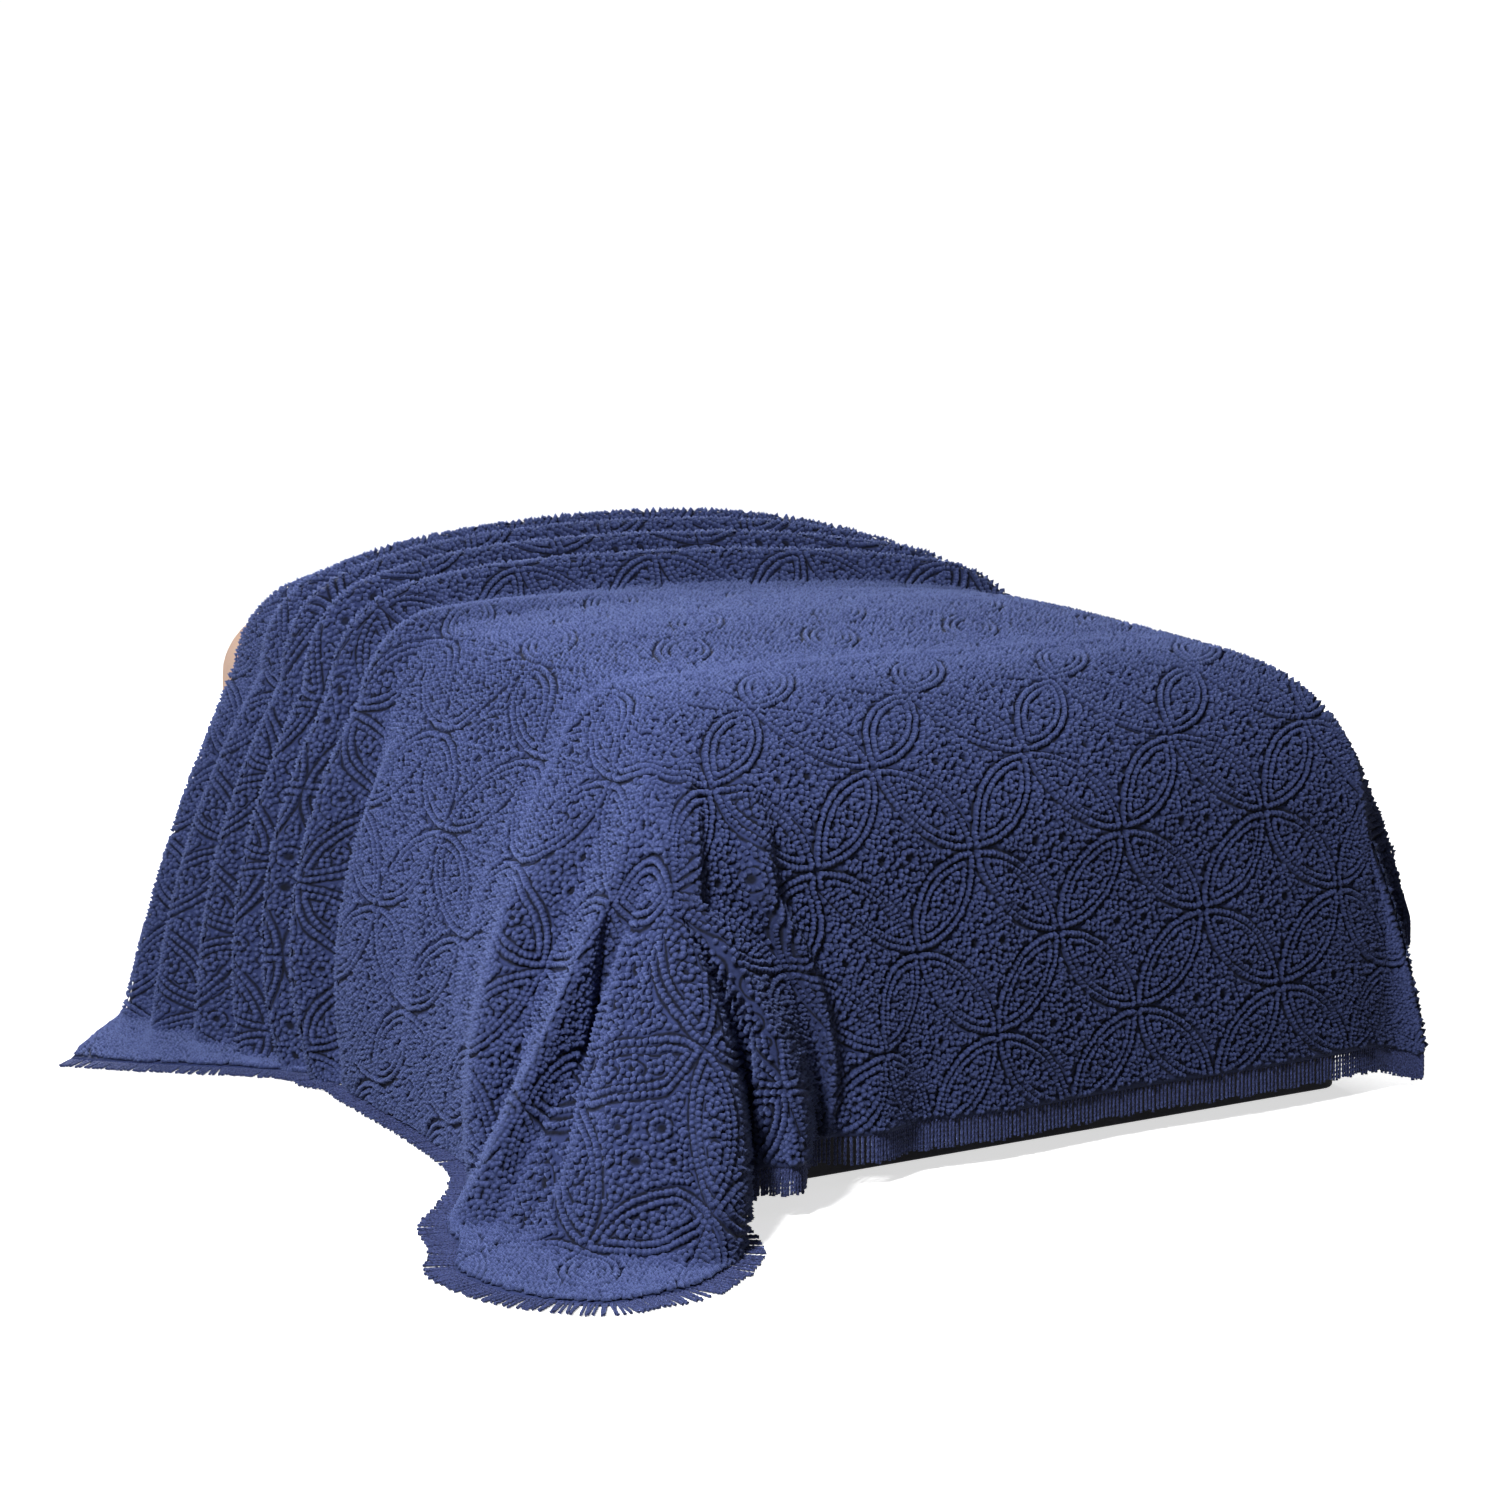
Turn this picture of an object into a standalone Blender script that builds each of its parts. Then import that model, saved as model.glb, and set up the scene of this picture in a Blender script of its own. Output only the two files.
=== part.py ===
"""A chenille bedspread with a corded fringe, pulled down from the head of a plain bed.

The cloth lies over a plump mattress, is pushed into rolled folds near the head, falls to
the floor on the left, trails from the left foot corner and hangs free at the foot and on
the right. X runs across the bed, the foot is at -Y, and the floor is z = 0.
"""

import math
from collections import namedtuple

import bmesh
import bpy
import numpy as np

# The bed, in metres
BED_WIDTH = 1.53
BED_LENGTH = 2.03
SIDE_TOP = 0.825
CROWN = 0.065
SIDE_ROUNDING = 0.14
FOOT_ROUNDING = 0.33
SIDE_FLARE = 0.20
FOOT_FLARE = 0.09
BASE_HEIGHT = 0.36
BASE_INSET = 0.02

# The cloth, in metres
CLOTH_THICKNESS = 0.006
BED_CLEARANCE = 0.005
LEFT_DROP = 0.745
RIGHT_DROP = 0.375
FOOT_DROP = 0.445
HEAD_SLIDE = 0.38
FALL_RATE = 0.97
FLOOR_SOFTNESS = 0.012

# The fringe, in metres
FRINGE_LENGTH = 0.058
STRIP_WIDTH = 0.007
STRIP_THICKNESS = 0.004
STRIP_GAP = 0.0022
LOCK_PITCH = 0.031
LOCK_TIP_SHARE = 0.45
LOCK_TIP_THICKNESS = 0.0028
LOCK_SPLAY = 0.006
LYING_HEIGHT = 0.012
HANGING_RISE = 0.03

# Rolled folds of the top, from the smooth part to the cloth's head edge. "cloth" is the
# distance along the cloth from the bed's middle, the next three say where the fold lies on
# the bed at its left edge, middle and right edge, and the last three how high it stands.
Roll = namedtuple("Roll", "cloth left middle right left_rise middle_rise right_rise")
ROLLS = (
    Roll(-0.60, -0.60, -0.60, -0.60, 0.000, 0.000, 0.000),
    Roll(-0.20, -0.20, -0.18, -0.22, 0.000, 0.000, 0.000),
    Roll(0.08, 0.07, 0.10, -0.04, 0.002, 0.000, 0.000),
    Roll(0.18, 0.15, 0.21, 0.01, 0.040, 0.002, 0.001),
    Roll(0.28, 0.215, 0.33, 0.065, 0.004, 0.003, 0.003),
    Roll(0.38, 0.28, 0.41, 0.125, 0.050, 0.072, 0.050),
    Roll(0.475, 0.345, 0.475, 0.19, 0.006, 0.026, 0.012),
    Roll(0.57, 0.41, 0.54, 0.26, 0.048, 0.100, 0.060),
    Roll(0.665, 0.475, 0.60, 0.33, 0.004, 0.050, 0.020),
    Roll(0.76, 0.54, 0.66, 0.42, 0.040, 0.118, 0.070),
    Roll(0.855, 0.61, 0.72, 0.51, 0.002, 0.068, 0.030),
    Roll(0.95, 0.685, 0.78, 0.60, 0.022, 0.125, 0.080),
    Roll(1.045, 0.76, 0.84, 0.69, 0.000, 0.075, 0.035),
    Roll(1.14, 0.84, 0.895, 0.77, 0.008, 0.090, 0.060),
    Roll(1.22, 0.91, 0.945, 0.845, 0.000, 0.020, 0.012),
)

# Pleats of the falling cloth, once round the bed from the head's left to the head's right.
# "place" runs along the top of the drop: metres from the left foot corner, minus towards
# the head, plus CORNER_SPAN through each corner. "share" is how far down the drop the next
# two columns lie, which say where the pleat stands on the plan there, and the last two say
# where its hem lies.
Pleat = namedtuple("Pleat", "place share middle_x middle_y hem_x hem_y")
CORNER_SPAN = 0.50
PLEATS = (
    Pleat(-2.394, 0.36, -0.925, 0.900, -1.320, 0.470),
    Pleat(-2.314, 0.36, -0.955, 0.840, -1.275, 0.425),
    Pleat(-2.219, 0.37, -0.915, 0.790, -1.235, 0.385),
    Pleat(-2.124, 0.38, -0.965, 0.715, -1.190, 0.345),
    Pleat(-2.029, 0.40, -0.900, 0.640, -1.145, 0.305),
    Pleat(-1.934, 0.42, -0.965, 0.555, -1.100, 0.265),
    Pleat(-1.839, 0.44, -0.870, 0.490, -1.055, 0.230),
    Pleat(-1.744, 0.46, -0.965, 0.410, -1.020, 0.195),
    Pleat(-1.649, 0.48, -0.865, 0.345, -0.985, 0.160),
    Pleat(-1.554, 0.49, -0.965, 0.270, -0.965, 0.130),
    Pleat(-1.454, 0.50, -0.862, 0.205, -0.945, 0.090),
    Pleat(-1.354, 0.50, -0.965, 0.125, -0.955, 0.050),
    Pleat(-1.254, 0.50, -0.865, 0.060, -0.930, -0.010),
    Pleat(-1.154, 0.50, -0.925, -0.020, -0.940, -0.090),
    Pleat(-0.854, 0.52, -0.905, -0.310, -0.945, -0.390),
    Pleat(-0.600, 0.60, -0.930, -0.575, -0.965, -0.630),
    Pleat(-0.450, 0.62, -0.990, -0.730, -1.020, -0.760),
    Pleat(-0.330, 0.62, -0.930, -0.795, -1.090, -0.850),
    Pleat(-0.220, 0.58, -0.975, -0.925, -1.160, -0.940),
    Pleat(-0.100, 0.48, -0.904, -0.930, -1.190, -1.045),
    Pleat(0.020, 0.36, -0.905, -1.045, -1.248, -1.170),
    Pleat(0.080, 0.35, -0.895, -1.105, -1.232, -1.275),
    Pleat(0.140, 0.34, -0.865, -1.160, -1.170, -1.375),
    Pleat(0.190, 0.38, -0.835, -1.190, -1.090, -1.425),
    Pleat(0.235, 0.42, -0.800, -1.200, -0.990, -1.425),
    Pleat(0.280, 0.47, -0.765, -1.195, -0.875, -1.365),
    Pleat(0.330, 0.52, -0.715, -1.125, -0.775, -1.265),
    Pleat(0.400, 0.58, -0.655, -1.040, -0.690, -1.125),
    Pleat(0.520, 0.60, -0.635, -1.160, -0.625, -1.185),
    Pleat(0.690, 0.60, -0.500, -1.040, -0.500, -1.050),
    Pleat(0.800, 0.58, -0.410, -1.065, -0.405, -1.095),
    Pleat(0.970, 0.55, -0.300, -1.050, -0.300, -1.068),
    Pleat(1.170, 0.55, -0.140, -1.062, -0.140, -1.085),
    Pleat(1.480, 0.55, 0.160, -1.050, 0.160, -1.070),
    Pleat(1.800, 0.55, 0.480, -1.058, 0.480, -1.080),
    Pleat(2.020, 0.50, 0.690, -1.052, 0.695, -1.070),
    Pleat(2.190, 0.42, 0.790, -1.040, 0.800, -1.060),
    Pleat(2.360, 0.48, 0.822, -1.060, 0.868, -1.090),
    Pleat(2.500, 0.46, 0.818, -0.990, 0.848, -1.000),
    Pleat(2.640, 0.46, 0.835, -0.915, 0.857, -0.917),
    Pleat(2.800, 0.50, 0.905, -0.905, 0.955, -0.945),
    Pleat(2.960, 0.50, 0.835, -0.770, 0.860, -0.775),
    Pleat(3.150, 0.50, 0.830, -0.600, 0.850, -0.600),
    Pleat(3.400, 0.50, 0.845, -0.390, 0.870, -0.385),
    Pleat(3.784, 0.50, 0.822, -0.060, 0.845, -0.060),
    Pleat(4.084, 0.50, 0.820, 0.070, 0.840, 0.070),
    Pleat(4.188, 0.50, 0.860, 0.125, 0.885, 0.125),
    Pleat(4.283, 0.50, 0.820, 0.190, 0.840, 0.190),
    Pleat(4.378, 0.50, 0.865, 0.260, 0.885, 0.260),
    Pleat(4.473, 0.50, 0.820, 0.330, 0.838, 0.330),
    Pleat(4.568, 0.50, 0.865, 0.420, 0.885, 0.420),
    Pleat(4.663, 0.50, 0.818, 0.510, 0.836, 0.510),
    Pleat(4.758, 0.50, 0.860, 0.600, 0.880, 0.600),
    Pleat(4.853, 0.50, 0.816, 0.690, 0.832, 0.690),
    Pleat(4.948, 0.50, 0.850, 0.770, 0.865, 0.770),
    Pleat(5.028, 0.50, 0.812, 0.845, 0.825, 0.845),
)

# Grid of the cloth: cells over each stretch
CELLS_ACROSS = (("shoulder", 3), ("top", 12), ("shoulder", 3))
CELLS_PER_ROLL = 3
CELLS_FOOT_ROUNDING = 5
CELLS_DOWN = 9
CELLS_CORNER = 22

HALF_WIDTH = BED_WIDTH / 2
HALF_LENGTH = BED_LENGTH / 2
SIDE_ANGLE = math.pi / 2 - math.atan(SIDE_FLARE)
FOOT_ANGLE = math.pi / 2 - math.atan(FOOT_FLARE)
FLAT_HALF_WIDTH = HALF_WIDTH - SIDE_ROUNDING
FLAT_FOOT = HALF_LENGTH - FOOT_ROUNDING
EDGE_ACROSS = FLAT_HALF_WIDTH + SIDE_ROUNDING * SIDE_ANGLE
EDGE_FOOT = FLAT_FOOT + FOOT_ROUNDING * FOOT_ANGLE
HEAD_EDGE = ROLLS[-1].cloth
FOOT_PLACE = CORNER_SPAN + 2 * EDGE_ACROSS
RIGHT_PLACE = FOOT_PLACE + CORNER_SPAN


def ease(x):
    """A smooth step from 0 to 1."""
    x = np.clip(x, 0.0, 1.0)
    return x * x * (3 - 2 * x)


def through(x, stations, values):
    """A smooth curve through a table's values, flat past its ends."""
    stations = np.asarray(stations, float)
    values = np.asarray(values, float)
    secants = np.diff(values) / np.diff(stations)
    before, after = secants[:-1], secants[1:]
    turning = before * after <= 0
    both = np.where(turning, 1.0, before + after)
    slopes = np.zeros(len(values))
    slopes[1:-1] = np.where(turning, 0.0, 2 * before * after / both)
    i = np.clip(np.searchsorted(stations, x) - 1, 0, len(stations) - 2)
    width = stations[i + 1] - stations[i]
    u = np.clip((x - stations[i]) / width, 0.0, 1.0)
    start = (1 + 2 * u) * (1 - u) ** 2 * values[i] + u * (1 - u) ** 2 * width * slopes[i]
    end = u * u * (3 - 2 * u) * values[i + 1] + u * u * (u - 1) * width * slopes[i + 1]
    return start + end


def column(table, name):
    return [getattr(row, name) for row in table]


def rounded(distance, flat, radius, angle):
    """How far out and how far down a point is that lies this far along a rounded edge."""
    turned = np.clip((np.abs(distance) - flat) / radius, 0.0, angle)
    out = np.minimum(np.abs(distance), flat) + radius * np.sin(turned)
    return np.sign(distance) * out, radius * (1 - np.cos(turned)), turned


def bed_top(x, y):
    """The height of the mattress's crowned top, before its edges are rounded."""
    across = 1 - np.clip(np.abs(x) / 0.80, 0.0, 1.0) ** 4
    along = ease((y + 1.0) / 0.95) * (0.45 + 0.55 * ease((1.05 - y) / 0.30))
    return SIDE_TOP + CROWN * across * along


def over_bed(across, cloth, folded=True):
    """Where a point of the cloth on top of the bed lies, by its distances on the flat cloth."""
    x, side_fall, turned = rounded(across, FLAT_HALF_WIDTH, SIDE_ROUNDING, SIDE_ANGLE)
    foot_y, foot_fall, _ = rounded(np.minimum(cloth, 0.0), FLAT_FOOT, FOOT_ROUNDING, FOOT_ANGLE)
    share = across / EDGE_ACROSS
    stations = column(ROLLS, "cloth")

    def blend(kind):
        left = through(cloth, stations, column(ROLLS, "left" + kind))
        middle = through(cloth, stations, column(ROLLS, "middle" + kind))
        right = through(cloth, stations, column(ROLLS, "right" + kind))
        return middle + (right - left) / 2 * share + ((right + left) / 2 - middle) * share**2

    on_top = cloth > ROLLS[0].cloth
    y = np.where(on_top, blend(""), foot_y) if folded else np.where(cloth < 0, foot_y, cloth)
    rise = np.where(on_top, blend("_rise"), 0.0) if folded else 0.0
    fall = (side_fall**4 + foot_fall**4) ** 0.25
    z = bed_top(x, y) - fall + rise * np.cos(turned)
    return np.stack([x + rise * np.sign(across) * np.sin(turned), y, z], -1)


def drop_length(place):
    """How much cloth hangs from the top of the drop to the hem."""
    slide = ease((-EDGE_FOOT - place) / HEAD_EDGE)
    left = LEFT_DROP + HEAD_SLIDE * slide
    turn = np.clip(place / CORNER_SPAN, 0.0, 1.0) * math.pi / 2
    left_corner = corner_length(np.cos(turn) / LEFT_DROP, np.sin(turn) / FOOT_DROP)
    turn = np.clip((place - FOOT_PLACE) / CORNER_SPAN, 0.0, 1.0) * math.pi / 2
    right_corner = corner_length(np.sin(turn) / RIGHT_DROP, np.cos(turn) / FOOT_DROP, 3)
    slide = ease((place - RIGHT_PLACE - EDGE_FOOT) / HEAD_EDGE)
    right = RIGHT_DROP * (1 - 0.5 * slide)
    found = np.where(place < 0, left, left_corner)
    found = np.where(place > FOOT_PLACE, right_corner, found)
    return np.where(place > RIGHT_PLACE, right, found)


def corner_length(side, foot, squareness=8):
    """The reach of the cloth's slightly rounded corner."""
    return (side**squareness + foot**squareness) ** (-1 / squareness)


def flat_place(place, share):
    """The point on the flat cloth, from the place along the drop and the share of it."""
    reach = drop_length(place) * share
    left_turn = np.clip(place / CORNER_SPAN, 0.0, 1.0) * math.pi / 2
    right_turn = np.clip((place - FOOT_PLACE) / CORNER_SPAN, 0.0, 1.0) * math.pi / 2
    across = np.clip(place - CORNER_SPAN - EDGE_ACROSS, -EDGE_ACROSS, EDGE_ACROSS)
    across = across - reach * np.where(place < CORNER_SPAN, np.cos(left_turn), 0.0)
    across = across + reach * np.where(place > FOOT_PLACE, np.sin(right_turn), 0.0)
    cloth = -EDGE_FOOT + np.maximum(-place, 0.0) + np.maximum(place - RIGHT_PLACE, 0.0)
    down = np.where(place > FOOT_PLACE, np.cos(right_turn), np.sin(left_turn))
    return across, cloth - reach * down


def falling(place, share):
    """Where a point of the falling cloth lies, between the top of the drop and the hem."""
    across = np.clip(place - CORNER_SPAN - EDGE_ACROSS, -EDGE_ACROSS, EDGE_ACROSS)
    cloth = -EDGE_FOOT + np.maximum(-place, 0.0) + np.maximum(place - RIGHT_PLACE, 0.0)
    edge = over_bed(across, cloth)
    stations = column(PLEATS, "place")
    middle_share = through(place, stations, column(PLEATS, "share"))
    found = []
    for axis, name in ((0, "x"), (1, "y")):
        middle = through(place, stations, column(PLEATS, "middle_" + name))
        hem = through(place, stations, column(PLEATS, "hem_" + name))
        found.append(
            edge[..., axis] * (share - middle_share) * (share - 1) / middle_share
            + middle * share * (share - 1) / (middle_share * (middle_share - 1))
            + hem * share * (share - middle_share) / (1 - middle_share)
        )
    floor = CLOTH_THICKNESS / 2
    height = edge[..., 2] - floor - FALL_RATE * drop_length(place) * share
    lifted = floor + FLOOR_SOFTNESS * np.logaddexp(0.0, height / FLOOR_SOFTNESS)
    return np.stack([*found, np.where(share > 0, lifted, edge[..., 2])], -1)


def steps(stretches):
    """Evenly spaced stations over each stretch, given as (start, end, cells)."""
    found = [stretches[0][0]]
    for start, end, cells in stretches:
        found += list(np.linspace(start, end, cells + 1)[1:])
    return np.array(found)


ACROSS = steps((
    (-EDGE_ACROSS, -FLAT_HALF_WIDTH, CELLS_ACROSS[0][1]),
    (-FLAT_HALF_WIDTH, FLAT_HALF_WIDTH, CELLS_ACROSS[1][1]),
    (FLAT_HALF_WIDTH, EDGE_ACROSS, CELLS_ACROSS[2][1]),
))
ALONG = steps((
    (-EDGE_FOOT, -FLAT_FOOT, CELLS_FOOT_ROUNDING),
    (-FLAT_FOOT, ROLLS[2].cloth, 8),
    *((a.cloth, b.cloth, CELLS_PER_ROLL) for a, b in zip(ROLLS[2:], ROLLS[3:])),
))
DOWN = steps(((0.0, 1.0, CELLS_DOWN),))
TURN = steps(((0.0, CORNER_SPAN, CELLS_CORNER),))
RIGHT_TURN = steps(((0.0, CORNER_SPAN, 12),))
PLACES_LEFT = -(ALONG[::-1] + EDGE_FOOT)
PLACES_FOOT = CORNER_SPAN + EDGE_ACROSS + ACROSS
PLACES_RIGHT = RIGHT_PLACE + EDGE_FOOT + ALONG


def cloth_patches():
    """The cloth's grids, each as its flat coordinates and its points in the room."""
    across, along = np.meshgrid(ACROSS, ALONG)
    yield (across, along), over_bed(across, along)
    for places in (PLACES_LEFT, TURN, PLACES_FOOT, FOOT_PLACE + RIGHT_TURN, PLACES_RIGHT):
        place, share = np.meshgrid(places, DOWN)
        yield flat_place(place, share), falling(place, share)


def joined_grid(patches):
    """One mesh of the patches, with each shared point once and every face the same way round."""
    points, flats, faces, known = [], [], [], {}
    for (across, along), grid in patches:
        rows, columns = grid.shape[:2]
        index = np.empty((rows, columns), int)
        for i in range(rows):
            for j in range(columns):
                key = tuple(np.round(grid[i, j], 6))
                if key not in known:
                    known[key] = len(points)
                    points.append(grid[i, j])
                    flats.append((across[i, j], along[i, j]))
                index[i, j] = known[key]
        for i in range(rows - 1):
            for j in range(columns - 1):
                ring = [index[i, j], index[i, j + 1], index[i + 1, j + 1], index[i + 1, j]]
                ring = [v for k, v in enumerate(ring) if v != ring[k - 1]]
                if len(ring) < 3:
                    continue
                if len(ring) == 4:
                    first = np.linalg.norm(points[ring[0]] - points[ring[2]])
                    second = np.linalg.norm(points[ring[1]] - points[ring[3]])
                    ring = ring if first <= second else ring[1:] + ring[:1]
                shape = np.array([flats[v] for v in ring])
                ahead = np.roll(shape, -1, axis=0)
                area = (shape[:, 0] * ahead[:, 1] - shape[:, 1] * ahead[:, 0]).sum()
                ring = ring if area > 0 else ring[::-1]
                faces += [[ring[0], *pair] for pair in zip(ring[1:], ring[2:])]
    return np.array(points), faces


def normals_of(points, faces):
    normals = np.zeros_like(points)
    for ring in faces:
        corners = points[ring]
        turned = np.cross(corners, np.roll(corners, -1, axis=0)).sum(axis=0)
        normals[ring] += turned
    return normals / np.linalg.norm(normals, axis=1, keepdims=True)


def outline_of(faces):
    """The edges that only one face uses, each as that face runs along it."""
    used = {(a, b) for ring in faces for a, b in zip(ring, ring[1:] + ring[:1])}
    return [(a, b) for a, b in used if (b, a) not in used]


def thickened(points, faces, thickness):
    """A closed shell of this thickness about the sheet, kept above the floor."""
    normals = normals_of(points, faces)
    upper = points + normals * thickness / 2
    lower = points - normals * thickness / 2
    upper[:, 2] = np.maximum(upper[:, 2], thickness)
    lower[:, 2] = np.maximum(lower[:, 2], 0.0)
    count = len(points)
    shell = [list(ring) for ring in faces]
    shell += [[v + count for v in reversed(ring)] for ring in faces]
    shell += [[b, a, a + count, b + count] for a, b in outline_of(faces)]
    return np.vstack([upper, lower]), shell


def add_object(name, points, faces, material):
    mesh = bpy.data.meshes.new(name)
    mesh.from_pydata([tuple(map(float, p)) for p in points], [], [list(map(int, f)) for f in faces])
    mesh.materials.append(material)
    mesh.shade_smooth()
    mesh.set_sharp_from_angle(angle=math.radians(50))
    obj = bpy.data.objects.new(name, mesh)
    bpy.context.scene.collection.objects.link(obj)
    return obj


def plain_material(name, colour, roughness):
    material = bpy.data.materials.new(name)
    material.use_nodes = True
    shader = material.node_tree.nodes["Principled BSDF"]
    shader.inputs["Base Color"].default_value = (*colour, 1.0)
    shader.inputs["Roughness"].default_value = roughness
    shader.inputs["Metallic"].default_value = 0.0
    return material


def hem_line(places):
    """The hem's points, with the way that the cloth runs out there and the way it faces."""
    hem = falling(places, np.ones_like(places))
    before = falling(places, np.full_like(places, 1 - 0.5 / CELLS_DOWN))
    along = np.gradient(hem, axis=0)
    along /= np.linalg.norm(along, axis=1, keepdims=True)
    facing = np.array([FACING[tuple(np.round(point, 6))] for point in hem])
    outward = np.cross(along, facing)
    outward *= np.sign((outward * (hem - before)).sum(axis=1, keepdims=True))
    outward /= np.linalg.norm(outward, axis=1, keepdims=True)
    level = np.stack([along[:, 1], -along[:, 0], np.zeros(len(along))], -1)
    level /= np.maximum(np.linalg.norm(level, axis=1, keepdims=True), 1e-6)
    hung = ease((hem[:, 2:] - LYING_HEIGHT) / HANGING_RISE)
    outward = hung * outward + (1 - hung) * level
    outward /= np.linalg.norm(outward, axis=1, keepdims=True)
    facing = hung * facing + (1 - hung) * np.array([0.0, 0.0, 1.0])
    facing -= outward * (facing * outward).sum(axis=1, keepdims=True)
    facing /= np.linalg.norm(facing, axis=1, keepdims=True)
    return hem + outward * (1 - hung) * CLOTH_THICKNESS / 2, outward, facing, level


def lock_stations(hem, pitch):
    """Where the locks' edges fall along the hem, as fractions of its grid's stations."""
    found = [0.0]
    for k, length in enumerate(np.linalg.norm(np.diff(hem, axis=0), axis=1)):
        count = max(1, round(length / pitch))
        found += [k + (i + 1) / count for i in range(count)]
    return np.array(found)


def fringe(name, places, material):
    """A narrow strip beside the hem with tapering locks that hang, or lie out on the floor."""
    hem, outward, facing, level = hem_line(places)
    stations = lock_stations(hem, LOCK_PITCH)
    trim = 0.0006 / np.linalg.norm(hem[1] - hem[0])
    stations[0] += trim
    stations[-1] -= 0.0006 / np.linalg.norm(hem[-1] - hem[-2])
    whole = np.arange(len(hem))

    def at(values):
        return np.stack([np.interp(stations, whole, values[:, k]) for k in range(3)], -1)

    root, out, face, sideways = at(hem), at(outward), at(facing), at(level)
    half = face * STRIP_THICKNESS / 2
    near = root + out * STRIP_GAP
    far = near + out * STRIP_WIDTH
    points = np.stack([near + half, near - half, far - half, far + half], 1)
    points[..., 2] += np.maximum(-points[..., 2].min(axis=1, keepdims=True), 0.0)
    points = points.reshape(-1, 3)
    faces = []
    for k in range(len(stations) - 1):
        a, b = 4 * k, 4 * (k + 1)
        for i in range(4):
            j = (i + 1) % 4
            if i != 2:
                faces.append([a + i, b + i, b + j, a + j])
    last = 4 * (len(stations) - 1)
    faces += [[0, 1, 2, 3], [last + 3, last + 2, last + 1, last]]
    points = list(points)
    for k in range(len(stations) - 1):
        a, b = 4 * k, 4 * (k + 1)
        roots = [a + 2, b + 2, b + 3, a + 3]
        centre = np.mean([points[v] for v in roots], axis=0)
        reach = min(centre[2] - LOCK_TIP_THICKNESS / 2, FRINGE_LENGTH)
        spread = max(math.sqrt(FRINGE_LENGTH**2 - reach**2), LOCK_SPLAY)
        way = (sideways[k] + sideways[k + 1]) / 2
        tip = centre + way * spread - np.array([0.0, 0.0, reach])
        side = (points[b + 2] + points[b + 3] - points[a + 2] - points[a + 3]) / 4 * LOCK_TIP_SHARE
        thick = (face[k] + face[k + 1]) / 4 * LOCK_TIP_THICKNESS
        first = len(points)
        points += [tip - side - thick, tip + side - thick, tip + side + thick, tip - side + thick]
        for i in range(4):
            j = (i + 1) % 4
            faces.append([roots[i], roots[j], first + j, first + i])
        faces.append([first, first + 1, first + 2, first + 3])
    points = np.array(points)
    points[:, 2] = np.maximum(points[:, 2], 0.0)
    obj = add_object(name, points, faces, material)
    work = bmesh.new()
    work.from_mesh(obj.data)
    bmesh.ops.recalc_face_normals(work, faces=work.faces)
    if work.calc_volume(signed=True) < 0:
        bmesh.ops.reverse_faces(work, faces=work.faces)
    work.to_mesh(obj.data)
    work.free()
    return obj


def mattress(material):
    """The plump mattress, a little inside the cloth, with upright walls under its rounding."""
    head_rounding = 0.10
    head_angle = math.radians(85)
    head_flat = HALF_LENGTH - head_rounding
    alongs = steps((
        (-EDGE_FOOT, -FLAT_FOOT, CELLS_FOOT_ROUNDING),
        (-FLAT_FOOT, head_flat, 12),
        (head_flat, head_flat + head_rounding * head_angle, 3),
    ))
    across, along = np.meshgrid(ACROSS, alongs)
    grid = over_bed(across, np.minimum(along, head_flat), folded=False)
    beyond, fall, _ = rounded(np.maximum(along, 0.0), head_flat, head_rounding, head_angle)
    _, side_fall, _ = rounded(across, FLAT_HALF_WIDTH, SIDE_ROUNDING, SIDE_ANGLE)
    at_head = along > head_flat
    both = (side_fall**4 + fall**4) ** 0.25
    grid[..., 1] = np.where(at_head, beyond, grid[..., 1])
    grid[..., 2] = np.where(at_head, bed_top(grid[..., 0], beyond) - both, grid[..., 2])
    points, faces = joined_grid([((across, along), grid)])
    points -= normals_of(points, faces) * (CLOTH_THICKNESS / 2 + BED_CLEARANCE)
    rim = outline_of(faces)
    follow = dict(rim)
    ring = [rim[0][0]]
    while follow[ring[-1]] != ring[0]:
        ring.append(follow[ring[-1]])
    foot = points[ring].copy()
    foot[:, 2] = BASE_HEIGHT + 0.0003
    first = len(points)
    points = np.vstack([points, foot])
    count = len(ring)
    for k in range(count):
        n = (k + 1) % count
        faces.append([ring[n], ring[k], first + k, first + n])
    faces.append([first + k for k in reversed(range(count))])
    return add_object("mattress", points, faces, material)


def bed_base(material):
    """A plain upholstered base that stands on the floor."""
    work = bmesh.new()
    bmesh.ops.create_cube(work, size=1.0)
    size = (BED_WIDTH - 2 * BASE_INSET, BED_LENGTH - 2 * BASE_INSET, BASE_HEIGHT)
    bmesh.ops.scale(work, vec=size, verts=work.verts)
    bmesh.ops.translate(work, vec=(0.0, 0.0, BASE_HEIGHT / 2), verts=work.verts)
    upright = [e for e in work.edges if abs(e.verts[0].co.z - e.verts[1].co.z) > 0.1]
    bmesh.ops.bevel(work, geom=upright, offset=0.04, segments=4, profile=0.5, affect="EDGES")
    mesh = bpy.data.meshes.new("bed_base")
    work.to_mesh(mesh)
    work.free()
    mesh.materials.append(material)
    obj = bpy.data.objects.new("bed_base", mesh)
    bpy.context.scene.collection.objects.link(obj)
    return obj


def clear_scene():
    for obj in list(bpy.data.objects):
        bpy.data.objects.remove(obj, do_unlink=True)


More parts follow.
